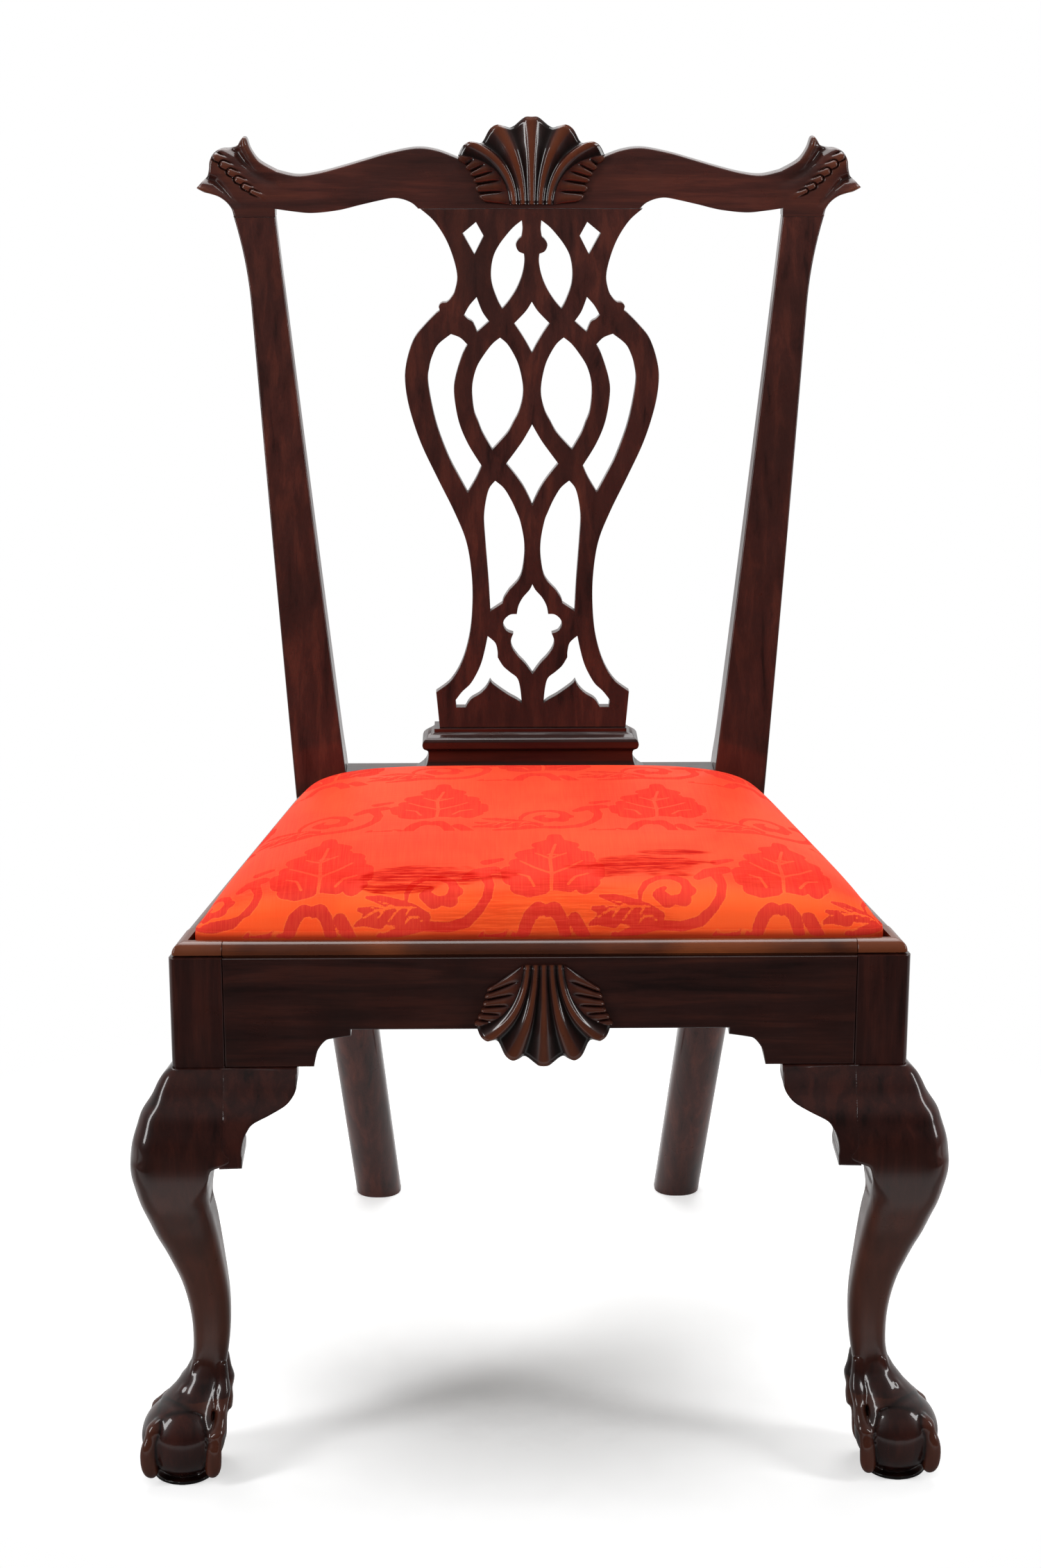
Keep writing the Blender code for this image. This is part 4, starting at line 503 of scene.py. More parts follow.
def mahogany(name, axis, seed, warm, tone, gold=0.0):
    """Varnished wood; warm and tone lift its red and all of it, gold is the share of yellower wood, painted light on
    lit tops.
    """
    n = Nodes(name)
    streak = n.noise(stretched(axis, 7.0, 90.0), (seed, seed * 1.7, seed * 0.6), 6.0, 0.6, 0.35)
    blotch = n.noise((9, 9, 9), (seed, 3, 1), 3.0, 0.5, 0.6)
    fine = n.noise(stretched(axis, 60.0, 1400.0), (seed, 0, 0), 3.0, 0.6)
    ripple = n.noise(stretched(axis, 10.0, 55.0), (seed, 5, 5), 2.0)
    stops = [(at, (r * (warm if i else 1.0) * tone, g * tone, b * tone))
             for i, (at, (r, g, b)) in enumerate(WOOD_STOPS)]
    wood = n.ramp(streak, stops)
    if gold:
        wood = n.mix(n.span(blotch, 0.25, 0.6, gold, 0.4 * gold), wood, WOOD_GOLD)
    wood = n.mix(n.soft(blotch, 0.35, 0.7, 0.0, 0.55), wood, tuple(c * tone for c in WOOD_BLOTCH))
    wood = n.mix(n.span(fine, 0.35, 0.75, 0.0, 0.28), wood, WOOD_PORE)
    # Lighter where ridge is set: worn raised carving, painted light on the posts' lip tops and a painted reflection
    # on the lower legs
    wood = n.mix(n.times(n.attribute("ridge"), n.span(blotch, 0.25, 0.65, 0.9, 0.45)), wood, WOOD_RIDGE)
    # Darker where hollow is set: the carving's hollows, with painted shade on cut rims and in creases
    wood = n.mix(n.attribute("hollow"), wood, WOOD_HOLLOW)
    return n.base(wood, n.span(n.noise((40, 40, 40), (seed, 1, 2)), 0.3, 0.75, 0.26, 0.42),
                  Normal=n.bump(fine, 0.00012, 0.35, n.bump(ripple, 0.0012, 0.25)),
                  Specular_IOR_Level=0.12, Coat_Weight=0.62, Coat_Roughness=0.08, Coat_IOR=1.5)


WOOD_X = mahogany("mahogany_across", "x", 0.0, 1.0, 0.85)
WOOD_Z = mahogany("mahogany_upright", "z", 3.0, 1.1, 0.78)
WOOD_Y = mahogany("mahogany_along", "y", 7.0, 1.0, 0.85)
WOOD_CARVED = mahogany("mahogany_carved", "z", 11.0, 1.15, 0.95)
BACK_X = mahogany("mahogany_crest", "x", 5.0, 1.0, 1.75)
BACK_Z = mahogany("mahogany_back", "z", 9.0, 1.0, 1.7)
# The lips are a lighter, golden copy of the mahogany: painted light falling on their tops
LIP_X = mahogany("mahogany_lit_lip_across", "x", 4.0, 1.1, 1.0, 0.8)
LIP_Y = mahogany("mahogany_lit_lip_along", "y", 6.0, 1.1, 1.0, 0.8)


def rough_wood(name, axis, colours, seed):
    n = Nodes(name)
    grain = n.noise(stretched(axis, 5.0, 70.0), (seed, 0, seed), 6.0, 0.6, 0.5)
    marks = n.noise(stretched(axis, 90.0, 12.0), detail=2.0)
    colour = n.ramp(grain, list(zip((0.3, 0.55, 0.75), colours)))
    colour = n.mix(n.span(marks, 0.5, 0.8, 0.0, 0.35), colour, colours[0])
    return n.base(colour, n.span(grain, 0.3, 0.7, 0.62, 0.85), Normal=n.bump(grain, 0.0004, 0.5),
                  Specular_IOR_Level=0.3)


PINE = ((0.22, 0.125, 0.055), (0.40, 0.26, 0.13), (0.52, 0.36, 0.19))
RAW = ((0.05, 0.02, 0.012), (0.10, 0.042, 0.024), (0.15, 0.065, 0.036))
BLOCK_WOOD = rough_wood("mahogany_raw", "z", RAW, 2.0)
PINE_X = rough_wood("pine_across", "x", PINE, 1.0)
PINE_Y = rough_wood("pine_along", "y", PINE, 4.0)


def woven(name, colours, pitch):
    """Plain weave with threads a pitch apart, in a dark, a light and a dirty colour."""
    n = Nodes(name)
    weave = n.times(*(n.new("ShaderNodeTexWave", {"Vector": n.coords["Object"], "Scale": 1 / pitch / 6.2832 * math.pi,
                                                  "Distortion": 0.6, "Detail": 1.0},
                            wave_type="BANDS", bands_direction=axis).outputs["Fac"] for axis in "XY"))
    colour = n.mix(n.span(weave, 0.1, 0.9), colours[0], colours[1])
    colour = n.mix(n.span(n.noise((25, 25, 25)), 0.45, 0.75, 0.0, 0.4), colour, colours[2])
    return n.base(colour, 0.9, Normal=n.bump(weave, 0.0006, 0.7), Specular_IOR_Level=0.2)


WEBBING = woven("linen_band", ((0.30, 0.23, 0.14), (0.52, 0.43, 0.30), (0.24, 0.17, 0.10)), 0.0022)
SACK = woven("linen_sacking", ((0.22, 0.16, 0.10), (0.42, 0.33, 0.21), (0.18, 0.12, 0.07)), 0.0016)


# Shares of the sizes above, as in the solids. Outlines are smooth runs of points that meet in corners; every run
# after an outline's first starts at the end of the one before.

UNDER_SHARES = (0.443, 0.734, 0.937, 1.0, 0.886, 0.633, 0.354, 0.209, 0.285, 0.43)
SPLAT_EDGE_SHARES = (
    ((0.87, 1.0), (0.757, 0.975), (0.653, 0.933), (0.587, 0.879), (0.604, 0.845), (0.645, 0.828)),
    ((0.67, 0.8235), (0.705, 0.8225), (0.73, 0.816), (0.725, 0.808), (0.745, 0.804)),
    ((0.838, 0.781), (0.928, 0.753), (0.986, 0.71), (0.998, 0.672), (0.964, 0.621), (0.878, 0.556), (0.748, 0.488),
     (0.617, 0.423), (0.523, 0.365), (0.482, 0.302), (0.477, 0.241), (0.5, 0.183), (0.559, 0.131), (0.649, 0.093),
     (0.768, 0.07)), ((0.741, 0.0),),
)
SPLAT_SIDE_OPENINGS_SHARES = (
    # small lozenge under the crest rail
    (((0.436, 0.975), (0.54, 0.954)), ((0.449, 0.914),), ((0.377, 0.949),), ((0.436, 0.975),)),
    # teardrop beside the stem, with the stem's knob
    (((0.077, 0.978), (0.135, 0.967), (0.189, 0.953), (0.252, 0.933), (0.297, 0.912), (0.318, 0.885), (0.311, 0.858),
      (0.27, 0.829), (0.232, 0.811)), ((0.177, 0.827), (0.12, 0.849), (0.078, 0.874), (0.058, 0.899), (0.061, 0.915)),
     ((0.104, 0.92), (0.124, 0.932), (0.104, 0.942), (0.081, 0.947)), ((0.072, 0.962), (0.077, 0.978))),
    # kite with the volute
    (((0.433, 0.833), (0.49, 0.817), (0.532, 0.799)), ((0.505, 0.792), (0.461, 0.785), (0.429, 0.767)),
     ((0.336, 0.787),), ((0.39, 0.806), (0.433, 0.833))),
    # long outer opening
    (((0.636, 0.763), (0.563, 0.756), (0.507, 0.743)),
     ((0.55, 0.722), (0.604, 0.679), (0.613, 0.647), (0.577, 0.596), (0.505, 0.553), (0.399, 0.511)),
     ((0.441, 0.488), (0.509, 0.46)),
     ((0.572, 0.488), (0.662, 0.531), (0.757, 0.596), (0.815, 0.668), (0.806, 0.701), (0.779, 0.724), (0.734, 0.744),
      (0.636, 0.763))),
    # inner oval
    (((0.25, 0.756), (0.311, 0.744), (0.378, 0.723), (0.432, 0.701), (0.464, 0.674), (0.47, 0.648), (0.455, 0.616),
      (0.423, 0.595), (0.387, 0.573), (0.313, 0.542)),
     ((0.198, 0.573), (0.144, 0.596), (0.102, 0.616), (0.074, 0.643), (0.074, 0.668), (0.102, 0.701), (0.14, 0.723),
      (0.194, 0.744), (0.25, 0.756))),
    # long lower opening
    (((0.292, 0.482), (0.338, 0.468), (0.365, 0.445), (0.381, 0.412), (0.372, 0.371), (0.359, 0.329), (0.345, 0.284),
      (0.333, 0.229)), ((0.24, 0.244),), ((0.225, 0.255), (0.185, 0.27)),
     ((0.099, 0.295), (0.068, 0.33), (0.066, 0.365), (0.095, 0.403), (0.126, 0.423), (0.167, 0.445), (0.225, 0.468),
      (0.292, 0.482))),
    # opening over the foot, with its ogee
    (((0.356, 0.18), (0.297, 0.167), (0.279, 0.151), (0.277, 0.138)),
     ((0.234, 0.121), (0.18, 0.109), (0.122, 0.097), (0.099, 0.077), (0.087, 0.048)),
     ((0.126, 0.055), (0.198, 0.065), (0.306, 0.084), (0.338, 0.093)),
     ((0.369, 0.079), (0.423, 0.066), (0.495, 0.055), (0.535, 0.04)), ((0.607, 0.04),), ((0.613, 0.054),),
     ((0.559, 0.071), (0.495, 0.086), (0.441, 0.108), (0.405, 0.129), (0.378, 0.154), (0.356, 0.18))),
)
SPLAT_MIDDLE_OPENINGS_SHARES = (
    (((0.0, 0.824), (0.048, 0.806), (0.139, 0.783)), ((0.086, 0.764), (0.036, 0.744), (0.0, 0.727))),
    (((0.0, 0.59), (0.039, 0.573), (0.09, 0.553), (0.205, 0.515)),
     ((0.117, 0.488), (0.063, 0.468), (0.018, 0.446), (0.0, 0.435))),
    (((0.0, 0.281), (0.024, 0.27), (0.077, 0.255), (0.111, 0.239), (0.124, 0.223)),
     ((0.176, 0.222), (0.221, 0.213), (0.231, 0.202), (0.203, 0.19), (0.152, 0.185)),
     ((0.171, 0.171), (0.158, 0.156), (0.113, 0.14), (0.059, 0.126), (0.0, 0.106))),
)
UNDER_SPAN_SHARES = (0.0, 0.044, 0.109, 0.177, 0.262, 0.407, 0.56, 0.738, 0.867, 1.0)
EAR_SHARES = (
    ((0.0, 0.0), (0.056, 0.097), (0.203, 0.187), (0.406, 0.254), (0.625, 0.29), (0.81, 0.313), (1.0, 0.366)),
    ((0.87, 0.433), (0.72, 0.507), (0.666, 0.597), (0.641, 0.7), (0.531, 0.8), (0.328, 0.85), (0.109, 0.858),
     (-0.094, 0.888), (-0.188, 0.955), (-0.266, 1.0)),
    ((-0.359, 0.978), (-0.469, 0.843), (-0.703, 0.7), (-1.172, 0.575)),
)
CREST_TOP_SHARES = (
    (0.7875, 0.522), (0.717, 0.552), (0.632, 0.634), (0.55, 0.724), (0.472, 0.806), (0.382, 0.866), (0.312, 0.836),
    (0.242, 0.739),
)
CREST_RIM_SHARES = (
    (0.0, 0.0, 1.0), (0.12, 0.1, 0.995), (0.25, 0.26, 0.895), (0.38, 0.37, 0.895), (0.5, 0.47, 0.91),
    (0.62, 0.57, 0.86), (0.75, 0.67, 0.72), (0.88, 0.75, 0.71), (1.0, 0.84, 0.715), (1.15, 0.945, 0.66),
    (1.25, 1.0, 0.57),
)
SEAT_RIM_SHARES = (
    (0.0, 0.0, 1.0), (0.12, 0.1, 0.99), (0.25, 0.27, 0.915), (0.38, 0.36, 0.925), (0.5, 0.47, 0.94),
    (0.62, 0.58, 0.89), (0.75, 0.68, 0.765), (0.88, 0.77, 0.745), (1.0, 0.85, 0.745), (1.15, 0.955, 0.69),
    (1.25, 1.0, 0.615),
)
CREST_FEATHER_SHARES = (
    (1.0, 0.57), (0.88, 0.455), (0.82, 0.377), (0.77, 0.31), (0.74, 0.234), (0.72, 0.13), (0.62, 0.02),
)
SEAT_FEATHER_SHARES = (
    (1.0, 0.615), (0.955, 0.55), (0.9, 0.48), (0.87, 0.42), (0.84, 0.35), (0.82, 0.28), (0.77, 0.21),
)
LEG_SHARES = (
    (1.0, 0.03, 0.32, 0.12), (0.988, 0.175, 0.43, 0.16), (0.971, 0.3, 0.52, 0.19), (0.942, 0.46, 0.635, 0.21),
    (0.91, 0.7, 0.81, 0.23), (0.878, 0.825, 0.893, 0.25), (0.843, 0.94, 0.965, 0.26), (0.8, 1.0, 1.0, 0.27),
    (0.794, 1.0, 0.86, 0.27), (0.77, 0.99, 0.745, 0.28), (0.7275, 0.9, 0.657, 0.29), (0.687, 0.787, 0.57, 0.3),
    (0.643, 0.62, 0.515, 0.31), (0.6, 0.455, 0.45, 0.32), (0.5565, 0.255, 0.352, 0.33), (0.5145, 0.08, 0.266, 0.34),
    (0.4725, -0.08, 0.19, 0.36), (0.426, -0.21, 0.13, 0.38), (0.377, -0.305, 0.075, 0.4), (0.325, -0.35, 0.03, 0.42),
    (0.278, -0.34, 0.0, 0.43), (0.2435, -0.26, 0.02, 0.43), (0.2116, -0.1, 0.11, 0.43), (0.18, 0.19, 0.27, 0.44),
    (0.145, 0.32, 0.23, 0.45),
)
TALON_SHARES = (
    (0.33, 2.69, 0.8, 0.95), (0.44, 2.3, 0.86, 0.89), (0.56, 2.02, 1.1, 0.78), (0.74, 1.72, 0.86, 0.59),
    (0.92, 1.5, 0.98, 0.38), (1.0, 1.34, 1.2, 0.2), (1.04, 1.2, 0.9, 0.1), (1.07, 1.0, 0.88, 0.02),
    (1.08, 0.8, 0.88, 0.0), (1.06, 0.55, 0.86, 0.0), (1.0, 0.38, 0.74, 0.0), (0.93, 0.26, 0.42, 0.0),
)
BRACKET_EDGE_SHARES = (
    ((0.996, 1.0), (0.998, 0.954), (1.0, 0.878), (0.985, 0.797), (0.938, 0.723), (0.84, 0.647), (0.63, 0.563),
    (0.398, 0.474), (0.31, 0.388), (0.26, 0.299), (0.237, 0.178), (0.246, 0.1), (0.242, 0.0)),
)
STEP_SHARES = (
    ((0.0, 0.17), (0.47, 0.24), (0.67, 0.3), (0.86, 0.53), (0.93, 0.75), (0.98, 1.0)),
)
SHOE_SHARES = (
    (0.0, 1.6), (0.08, 1.1), (0.2, 0.7), (0.38, 0.52), (0.52, 0.55), (0.6, 0.9), (0.7, 1.0), (0.8, 0.8), (0.88, 0.25),
    (0.92, 0.0), (1.0, 0.0),
)


# Back

def crest_back(x, z):
    top = ease((z - JOINT) / CREST_H)
    end = ease((np.abs(x) - STILE_OUT) / EAR)
    return back_face(z) + 0.024 - 0.007 * np.maximum(top, end)


def crest_outline(steps):
    inner = STILE_OUT - STILE_W
    under = [(SPLAT_TOP_HALF + s * (inner - SPLAT_TOP_HALF), JOINT + r * UNDER_RISE)
             for s, r in zip(UNDER_SPAN_SHARES, UNDER_SHARES)]
    half = run(under, steps) + [under[-1], (inner, JOINT)]
    ear = [[(STILE_OUT + x * EAR, JOINT + z * CREST_H) for x, z in points] for points in EAR_SHARES]
    top = [ear[-1][-1]] + [(x * STILE_OUT, JOINT + z * CREST_H) for x, z in CREST_TOP_SHARES]
    return mirrored(half + outline_of(ear, steps) + run(top, steps) + [top[-1], (0.0, JOINT + CREST_H)])


def beside(p, q, u, v):
    """How far along a segment the nearest place is, from 0 to 1, and its distance, for arrays u and v."""
    d = q[:2] - p[:2]
    s = np.clip(((u - p[0]) * d[0] + (v - p[1]) * d[1]) / max(d @ d, 1e-9), 0, 1)
    return s, np.hypot(u - p[0] - s * d[0], v - p[1] - s * d[1])


def path_field(points, u, v):
    """Distance to a path and the values carried along it, for arrays u and v."""
    points = np.asarray(points, float)
    best = np.full(np.shape(u), 1e9)
    carried = np.zeros(np.shape(u) + (points.shape[1] - 2,))
    for p, q in zip(points, points[1:]):
        s, gap = beside(p, q, u, v)
        closer = gap < best
        best = np.where(closer, gap, best)
        carried[closer] = (p[2:] + s[..., None] * (q[2:] - p[2:]))[closer]
    return best, carried


# Ear, in mm outward from the stile's side and up from the joint: paths with width and depth
EAR_FLUTES = (
    ((10, 68, 4.6, 6.5), (5, 59.3, 4.2, 5.6), (-3.1, 54, 3.7, 4.6), (-9, 46, 3.3, 3.6), (-17, 38, 3.2, 2.6),
     (-28.7, 31, 3.6, 1.5), (-42, 27, 5, 0.0)),
    ((31, 38, 4.0, 6.0), (24, 32.6, 3.6, 5.2), (16.6, 30.5, 3.2, 4.2), (9.7, 23.8, 2.7, 3.0), (2.7, 15.7, 2.3, 1.6),
     (-6, 8, 2.2, 0.0)),
)
EAR_RIDGES = (
    ((-8.5, 68, 2.2, 2.6), (-9.5, 60, 2.4, 1.6), (-16, 50, 2.8, 0.9), (-28, 42, 3.0, 0.0)),
    ((34, 24.5, 2.4, 2.8), (26, 23, 2.4, 1.6), (16, 18, 2.6, 0.8), (6, 9, 2.6, 0.0)),
    ((20, 52, 5.0, 1.2), (10, 40, 4.0, 0.9), (0, 27, 3.4, 0.5), (-9, 16, 3, 0.0)),
)
EAR_PETALS = ((14.6, 50.5, 3.5), (8.5, 44.2, 3.35), (2.4, 37.8, 3.2), (-3.7, 31.6, 3.0), (-9.6, 25.8, 2.7),
              (-16.2, 21.4, 2.2))


def ear_relief(x, z):
    """Forward reach, dark hollows and bright ridges of the ear's carving, with painted shadow on the petals' rims."""
    u = (np.abs(x) - STILE_OUT) * 1000
    v = (z - JOINT) * 1000
    high, dark, glow, petals = np.zeros((4, *np.shape(u)))
    for sign, paths in ((-1, EAR_FLUTES), (1, EAR_RIDGES)):
        for path in paths:
            gap, carried = path_field(path, u, v)
            width, depth = carried[..., 0], carried[..., 1]
            fall = np.exp(-(gap / np.maximum(width, 0.1)) ** 2)
            high += sign * depth * fall
            if sign < 0:
                dark = np.maximum(dark, 0.5 * fall * np.clip(depth / 4, 0, 1))
            else:
                glow = np.maximum(glow, fall * np.clip(depth / 2, 0, 1))
    turn = math.radians(24)
    for cu, cv, r in EAR_PETALS:
        a = (cu - u) * math.cos(turn) - (v - cv) * math.sin(turn)
        b = (cu - u) * math.sin(turn) + (v - cv) * math.cos(turn)
        across = np.where(a < 0, np.hypot(a, b), np.abs(b)) / r
        dome = np.sqrt(np.clip(1 - across ** 2, 0, 1)) * (1 - ease(a / 15.0))
        petals = np.maximum(petals, dome)
        # Painted shadow along each petal's cut rim
        rim = np.exp(-((across - 1.1) * r / 0.6) ** 2) * (1 - ease(a / 10.0)) * (a > -2 * r)
        dark = np.maximum(dark, 0.95 * rim)
        high -= 1.4 * rim
    high += 2.2 * petals
    glow = np.maximum(glow, petals * 0.9)
    inside = ease((u + 46) / 12) * ease((v - 4) / 6)
    return high * inside / 1000, dark * inside, glow * inside * (1 - dark)


def crest_rounding(pts):
    """The rail's arris: soft along its top, crisp at the joints with stiles and splat."""
    x, z = np.abs(pts[:, 0]), pts[:, 1]
    stile = (x > STILE_OUT - STILE_W - 0.001) & (x < STILE_OUT + 0.001) & (z < JOINT + 0.0006)
    splat = (x < SPLAT_TOP_HALF + 0.0005) & (z < JOINT + 0.02)
    low = z < JOINT + 0.5 * CREST_H
    return np.where(stile | splat, 0.00015, np.where(low & (x < STILE_OUT), 0.0010, 0.0020))


ear_region = ((STILE_OUT - 0.046, JOINT + 0.002), (STILE_OUT + EAR, JOINT + CREST_H), 0.00055)
verts, faces, front = rounded_plate(crest_outline(8), [], lambda x, z: back_face(z) - ear_relief(x, z)[0], crest_back,
                                    crest_rounding, 0.002, 0.009, fine=ear_region)
dark, glow = ear_relief(verts[:, 0], verts[:, 2])[1:]
add("crest_rail_body", verts, faces, BACK_X, ["crest_rail"], 50,
    floats={"hollow": dark * front, "ridge": glow * front})

# Shells


def fan_point(rim, t, v):
    share = np.clip(np.abs(t), 0, FAN)
    edge = table(rim, share)
    spread = share / FAN
    hinge = 0.3 * spread
    bend_x, bend_z = 0.34 * spread, 0.49
    r = 1 - v
    return (np.sign(t) * (r * r * hinge + 2 * r * v * bend_x + v * v * edge[..., 0]),
            2 * r * v * bend_z + v * v * edge[..., 1])


def rib(t):
    """Height over the flutes of ribs that lie at every half of t."""
    u = np.abs((t * 2 + 0.5) % 1.0 - 0.5) / 0.5
    low = 1 - 0.25 * (u / 0.42) ** 2
    high = 0.75 * np.clip((1 - u) / 0.58, 0, 1) ** 1.7
    return np.where(u < 0.42, low, high)


def fan_relief(t, v):
    spread = np.abs(t) / FAN
    dome = (0.45 + 0.75 * ease(v * 1.4) - 0.25 * v) * (1 - 0.2 * spread * spread)
    hollow = 1 - rib(t)
    return 0.011 * dome - 0.0042 * (0.35 + 0.65 * v) * hollow, hollow


def feather_end(points, a):
    step = np.clip(a, 0, 1) * (len(points) - 1)
    i = np.minimum(step.astype(int), len(points) - 2)
    pts = np.asarray(points)
    f = (step - i)[..., None]
    return pts[i] + (pts[i + 1] - pts[i]) * f, step - i


def shell(name, half, height, body, place, rim, feathers, node, columns=201, rows=65, around=97, out=26):
    """Fan of ribs between two feathered edges, closed by a wall as deep as body, and then put in its place."""
    def sheet(x, z, lift, dark, glow, flip=False):
        faces.extend((a, d, c, b) if flip else (a, b, c, d)
                     for a, b, c, d in grid_faces(*x.shape, sum(len(p) for p in points)))
        points.append(np.stack([x * half, z * height, lift], -1).reshape(-1, 3))
        marks.append(np.stack([dark, glow], -1).reshape(-1, 2))

    points, faces, marks = [], [], []
    t, v = grid_of(-FAN, FAN, columns, rows)
    x, z = fan_point(rim, t, v)
    lift, hollow = fan_relief(t, v)
    lift = lift - 0.0016 * ease((v - 0.955) / 0.045) - 0.0010 * (1 - ease(v / 0.05))
    sheet(x, z, lift, np.clip((hollow - 0.3) * 1.5, 0, 1) * 0.9, np.clip(1 - hollow * 2.2, 0, 1), True)
    a, s = grid_of(0, 1, around, out)
    end = np.full(a.shape, FAN)
    for sign in (-1, 1):
        nx, nz = fan_point(rim, end, 1 - a)
        far, frac = feather_end(feathers, a)
        swell = 1 + 0.05 * np.sin(np.pi * frac)
        fx, fz = far[..., 0] * swell, far[..., 1]
        base = fan_relief(end, 1 - a)[0]
        # A feather's tip curls forward and hangs over the next one
        ridge = np.sin(np.pi * np.clip(frac, 0, 1)) ** 0.6
        rise = base * (1 - 0.55 * s) + 0.0026 * (ridge - 0.6) * np.minimum(s * 3, 1) + 0.002 * s * s * ridge
        rise -= 0.0014 * ease((s - 0.93) / 0.07)
        near = np.minimum(s * 3, 1)
        sheet(sign * (nx + (fx - nx) * s), nz + (fz - nz) * s, rise, np.clip(1 - ridge * 1.4, 0, 1) * near * 0.95,
              (ridge - 0.5).clip(0) * 1.2 * near)
    dark, glow = np.concatenate(marks).T
    bm = built(np.concatenate(points), faces, 2e-5, hollow=dark, ridge=glow)
    bmesh.ops.recalc_face_normals(bm, faces=bm.faces)
    made = bmesh.ops.extrude_edge_only(bm, edges=[e for e in bm.edges if len(e.link_faces) == 1])
    for vert in (g for g in made["geom"] if isinstance(g, bmesh.types.BMVert)):
        vert.co.z = -body
        vert[bm.verts.layers.float["hollow"]] = WALL_DARK
    bmesh.ops.edgeloop_fill(bm, edges=[g for g in made["geom"] if isinstance(g, bmesh.types.BMEdge)
                                       and len(g.link_faces) == 1])
    co, faces, dark, glow = taken(bm, False)
    placed = np.array([place(*c) for c in co])
    add(name, placed, outward(placed, faces, 0)[1], WOOD_CARVED, node, 60, False,
        floats={"hollow": dark, "ridge": glow})


slope = float(back_face(JOINT + CREST_H) - back_face(JOINT)) / CREST_H
crest_up = np.array((0, slope, 1.0)) / math.hypot(1, slope)
crest_out = np.array((0, -1.0, slope)) / math.hypot(1, slope)
CREST_SHELL_BODY = 0.0135
SPLAT_SHIFT = 0.002
crest_foot = np.array((SPLAT_SHIFT, float(back_face(SPLAT_TOP)), SPLAT_TOP + GAP + slope * CREST_SHELL_BODY))
shell("crest_shell", 0.0635, 0.074, CREST_SHELL_BODY,
      lambda a, b, c: crest_foot + np.array((a, 0, 0)) + crest_up * b + crest_out * c,
      CREST_RIM_SHARES, CREST_FEATHER_SHARES, ["crest_rail"])
shell("seat_shell_carving", 0.051, 0.079, 0.0,
      lambda a, b, c: np.array((a + 0.0026, -GAP - c, FACE_TOP - 0.0055 - b)),
      SEAT_RIM_SHARES, SEAT_FEATHER_SHARES, ["seat_shell"])

# Splat
splat_low, splat_high = SHOE_TOP + GAP, SPLAT_TOP - GAP


def on_splat(runs, side=1, steps=7):
    return [(side * x * SPLAT_HALF, splat_low + z * (splat_high - splat_low))
            for x, z in outline_of(runs, steps)]


last = SPLAT_EDGE_SHARES[-1][-1]
half = on_splat(SPLAT_EDGE_SHARES) + [(last[0] * SPLAT_HALF, splat_low)]
holes = [on_splat(runs, side) for runs in SPLAT_SIDE_OPENINGS_SHARES for side in (-1, 1)]
for runs in SPLAT_MIDDLE_OPENINGS_SHARES:
    end = (0.0, splat_low + runs[-1][-1][1] * (splat_high - splat_low))
    holes.append(mirrored(on_splat(runs) + [end]))
verts, faces, _ = rounded_plate(mirrored(half), holes, lambda x, z: back_face(z), lambda x, z: back_face(z) + SPLAT_T,
                                0.0006, 0.0008, 0.008)
verts[:, 0] += SPLAT_SHIFT
add("splat_body", verts, faces, BACK_Z, ["splat"])

# Shoe
rings = []
front_y = float(back_face(SHOE_TOP)) - 0.003
for h, swell in run(SHOE_SHARES[:9], 6) + list(SHOE_SHARES[8:]):
    z = REAR_TOP + GAP + h * SHOE_H
    w = SHOE_HALF + swell * SHOE_SWELL
    y0 = max(front_y - swell * SHOE_SWELL, SEAT_REAR)
    rings.append([(-w, y0, z), (w, y0, z), (w, front_y + 0.026, z), (-w, front_y + 0.026, z)])
shoe = add("shoe_moulding", *outward(*loft(rings)), WOOD_X, ["shoe"], None)
mod = shoe.modifiers.new("bevel", "BEVEL")
mod.width, mod.segments, mod.limit_method, mod.angle_limit = 0.0007, 3, "ANGLE", math.radians(40)
shoe.modifiers.new("normals", "WEIGHTED_NORMAL").weight = NORMAL_WEIGHT

# Rear posts
POST_LOW, POST_HIGH, ARRIS = 0.045, 0.026, 0.0016


def post_rings(side):
    """Sections from the floor to the crest rail, rounded below the seat and thinner towards the top."""
    rings = []
    for z in np.concatenate([np.linspace(0, REAR_LEG_BEND, 30), np.linspace(0.37, FACE_TOP, 6),
                             np.linspace(FACE_TOP + 0.006, JOINT - GAP, 60)]):
        inner, outer = post_sides(z)
        y = float(back_face(z))
        soft = 0.017 * (1 - ease((z - 0.30) / 0.07)) + ARRIS
        share = max(0.0, (z - REAR_TOP) / (JOINT - REAR_TOP))
        depth = POST_LOW + (POST_HIGH - POST_LOW) * share
        back = max(soft, ARRIS + (0.009 - ARRIS) * ease((z - REAR_TOP) / 0.03))
        ring = rounded_ring((inner, y), (outer, y + depth), z, (soft, soft, back, back), 8)
        rings.append([(side * x, b, c) for x, b, c in ring])
    return rings


for side, word in SIDES:
    add("rear_post_" + word + "_body", *outward(*loft(post_rings(side))), BACK_Z, ["rear_post_" + word])

# Rails


def lip_points(steps=14):
    """Bead above the rail, with a deep groove at its foot."""
    flat = LIP - QUIRK - 0.0012
    points = [(QUIRK + 0.0022, FACE_TOP - 0.0012), (QUIRK + 0.0022, FACE_TOP + 0.0010),
              (QUIRK + 0.0004, FACE_TOP + 0.0017)]
    for k in range(steps + 1):
        a = math.radians(90 * k / steps)
        points.append((QUIRK + flat * (1 - math.cos(a)), FACE_TOP + 0.0022 + (LIP_RISE - 0.0022) * math.sin(a)))
    return points + [(LIP, LIP_TOP - 0.0008), (LIP, LEDGE - 0.001)]


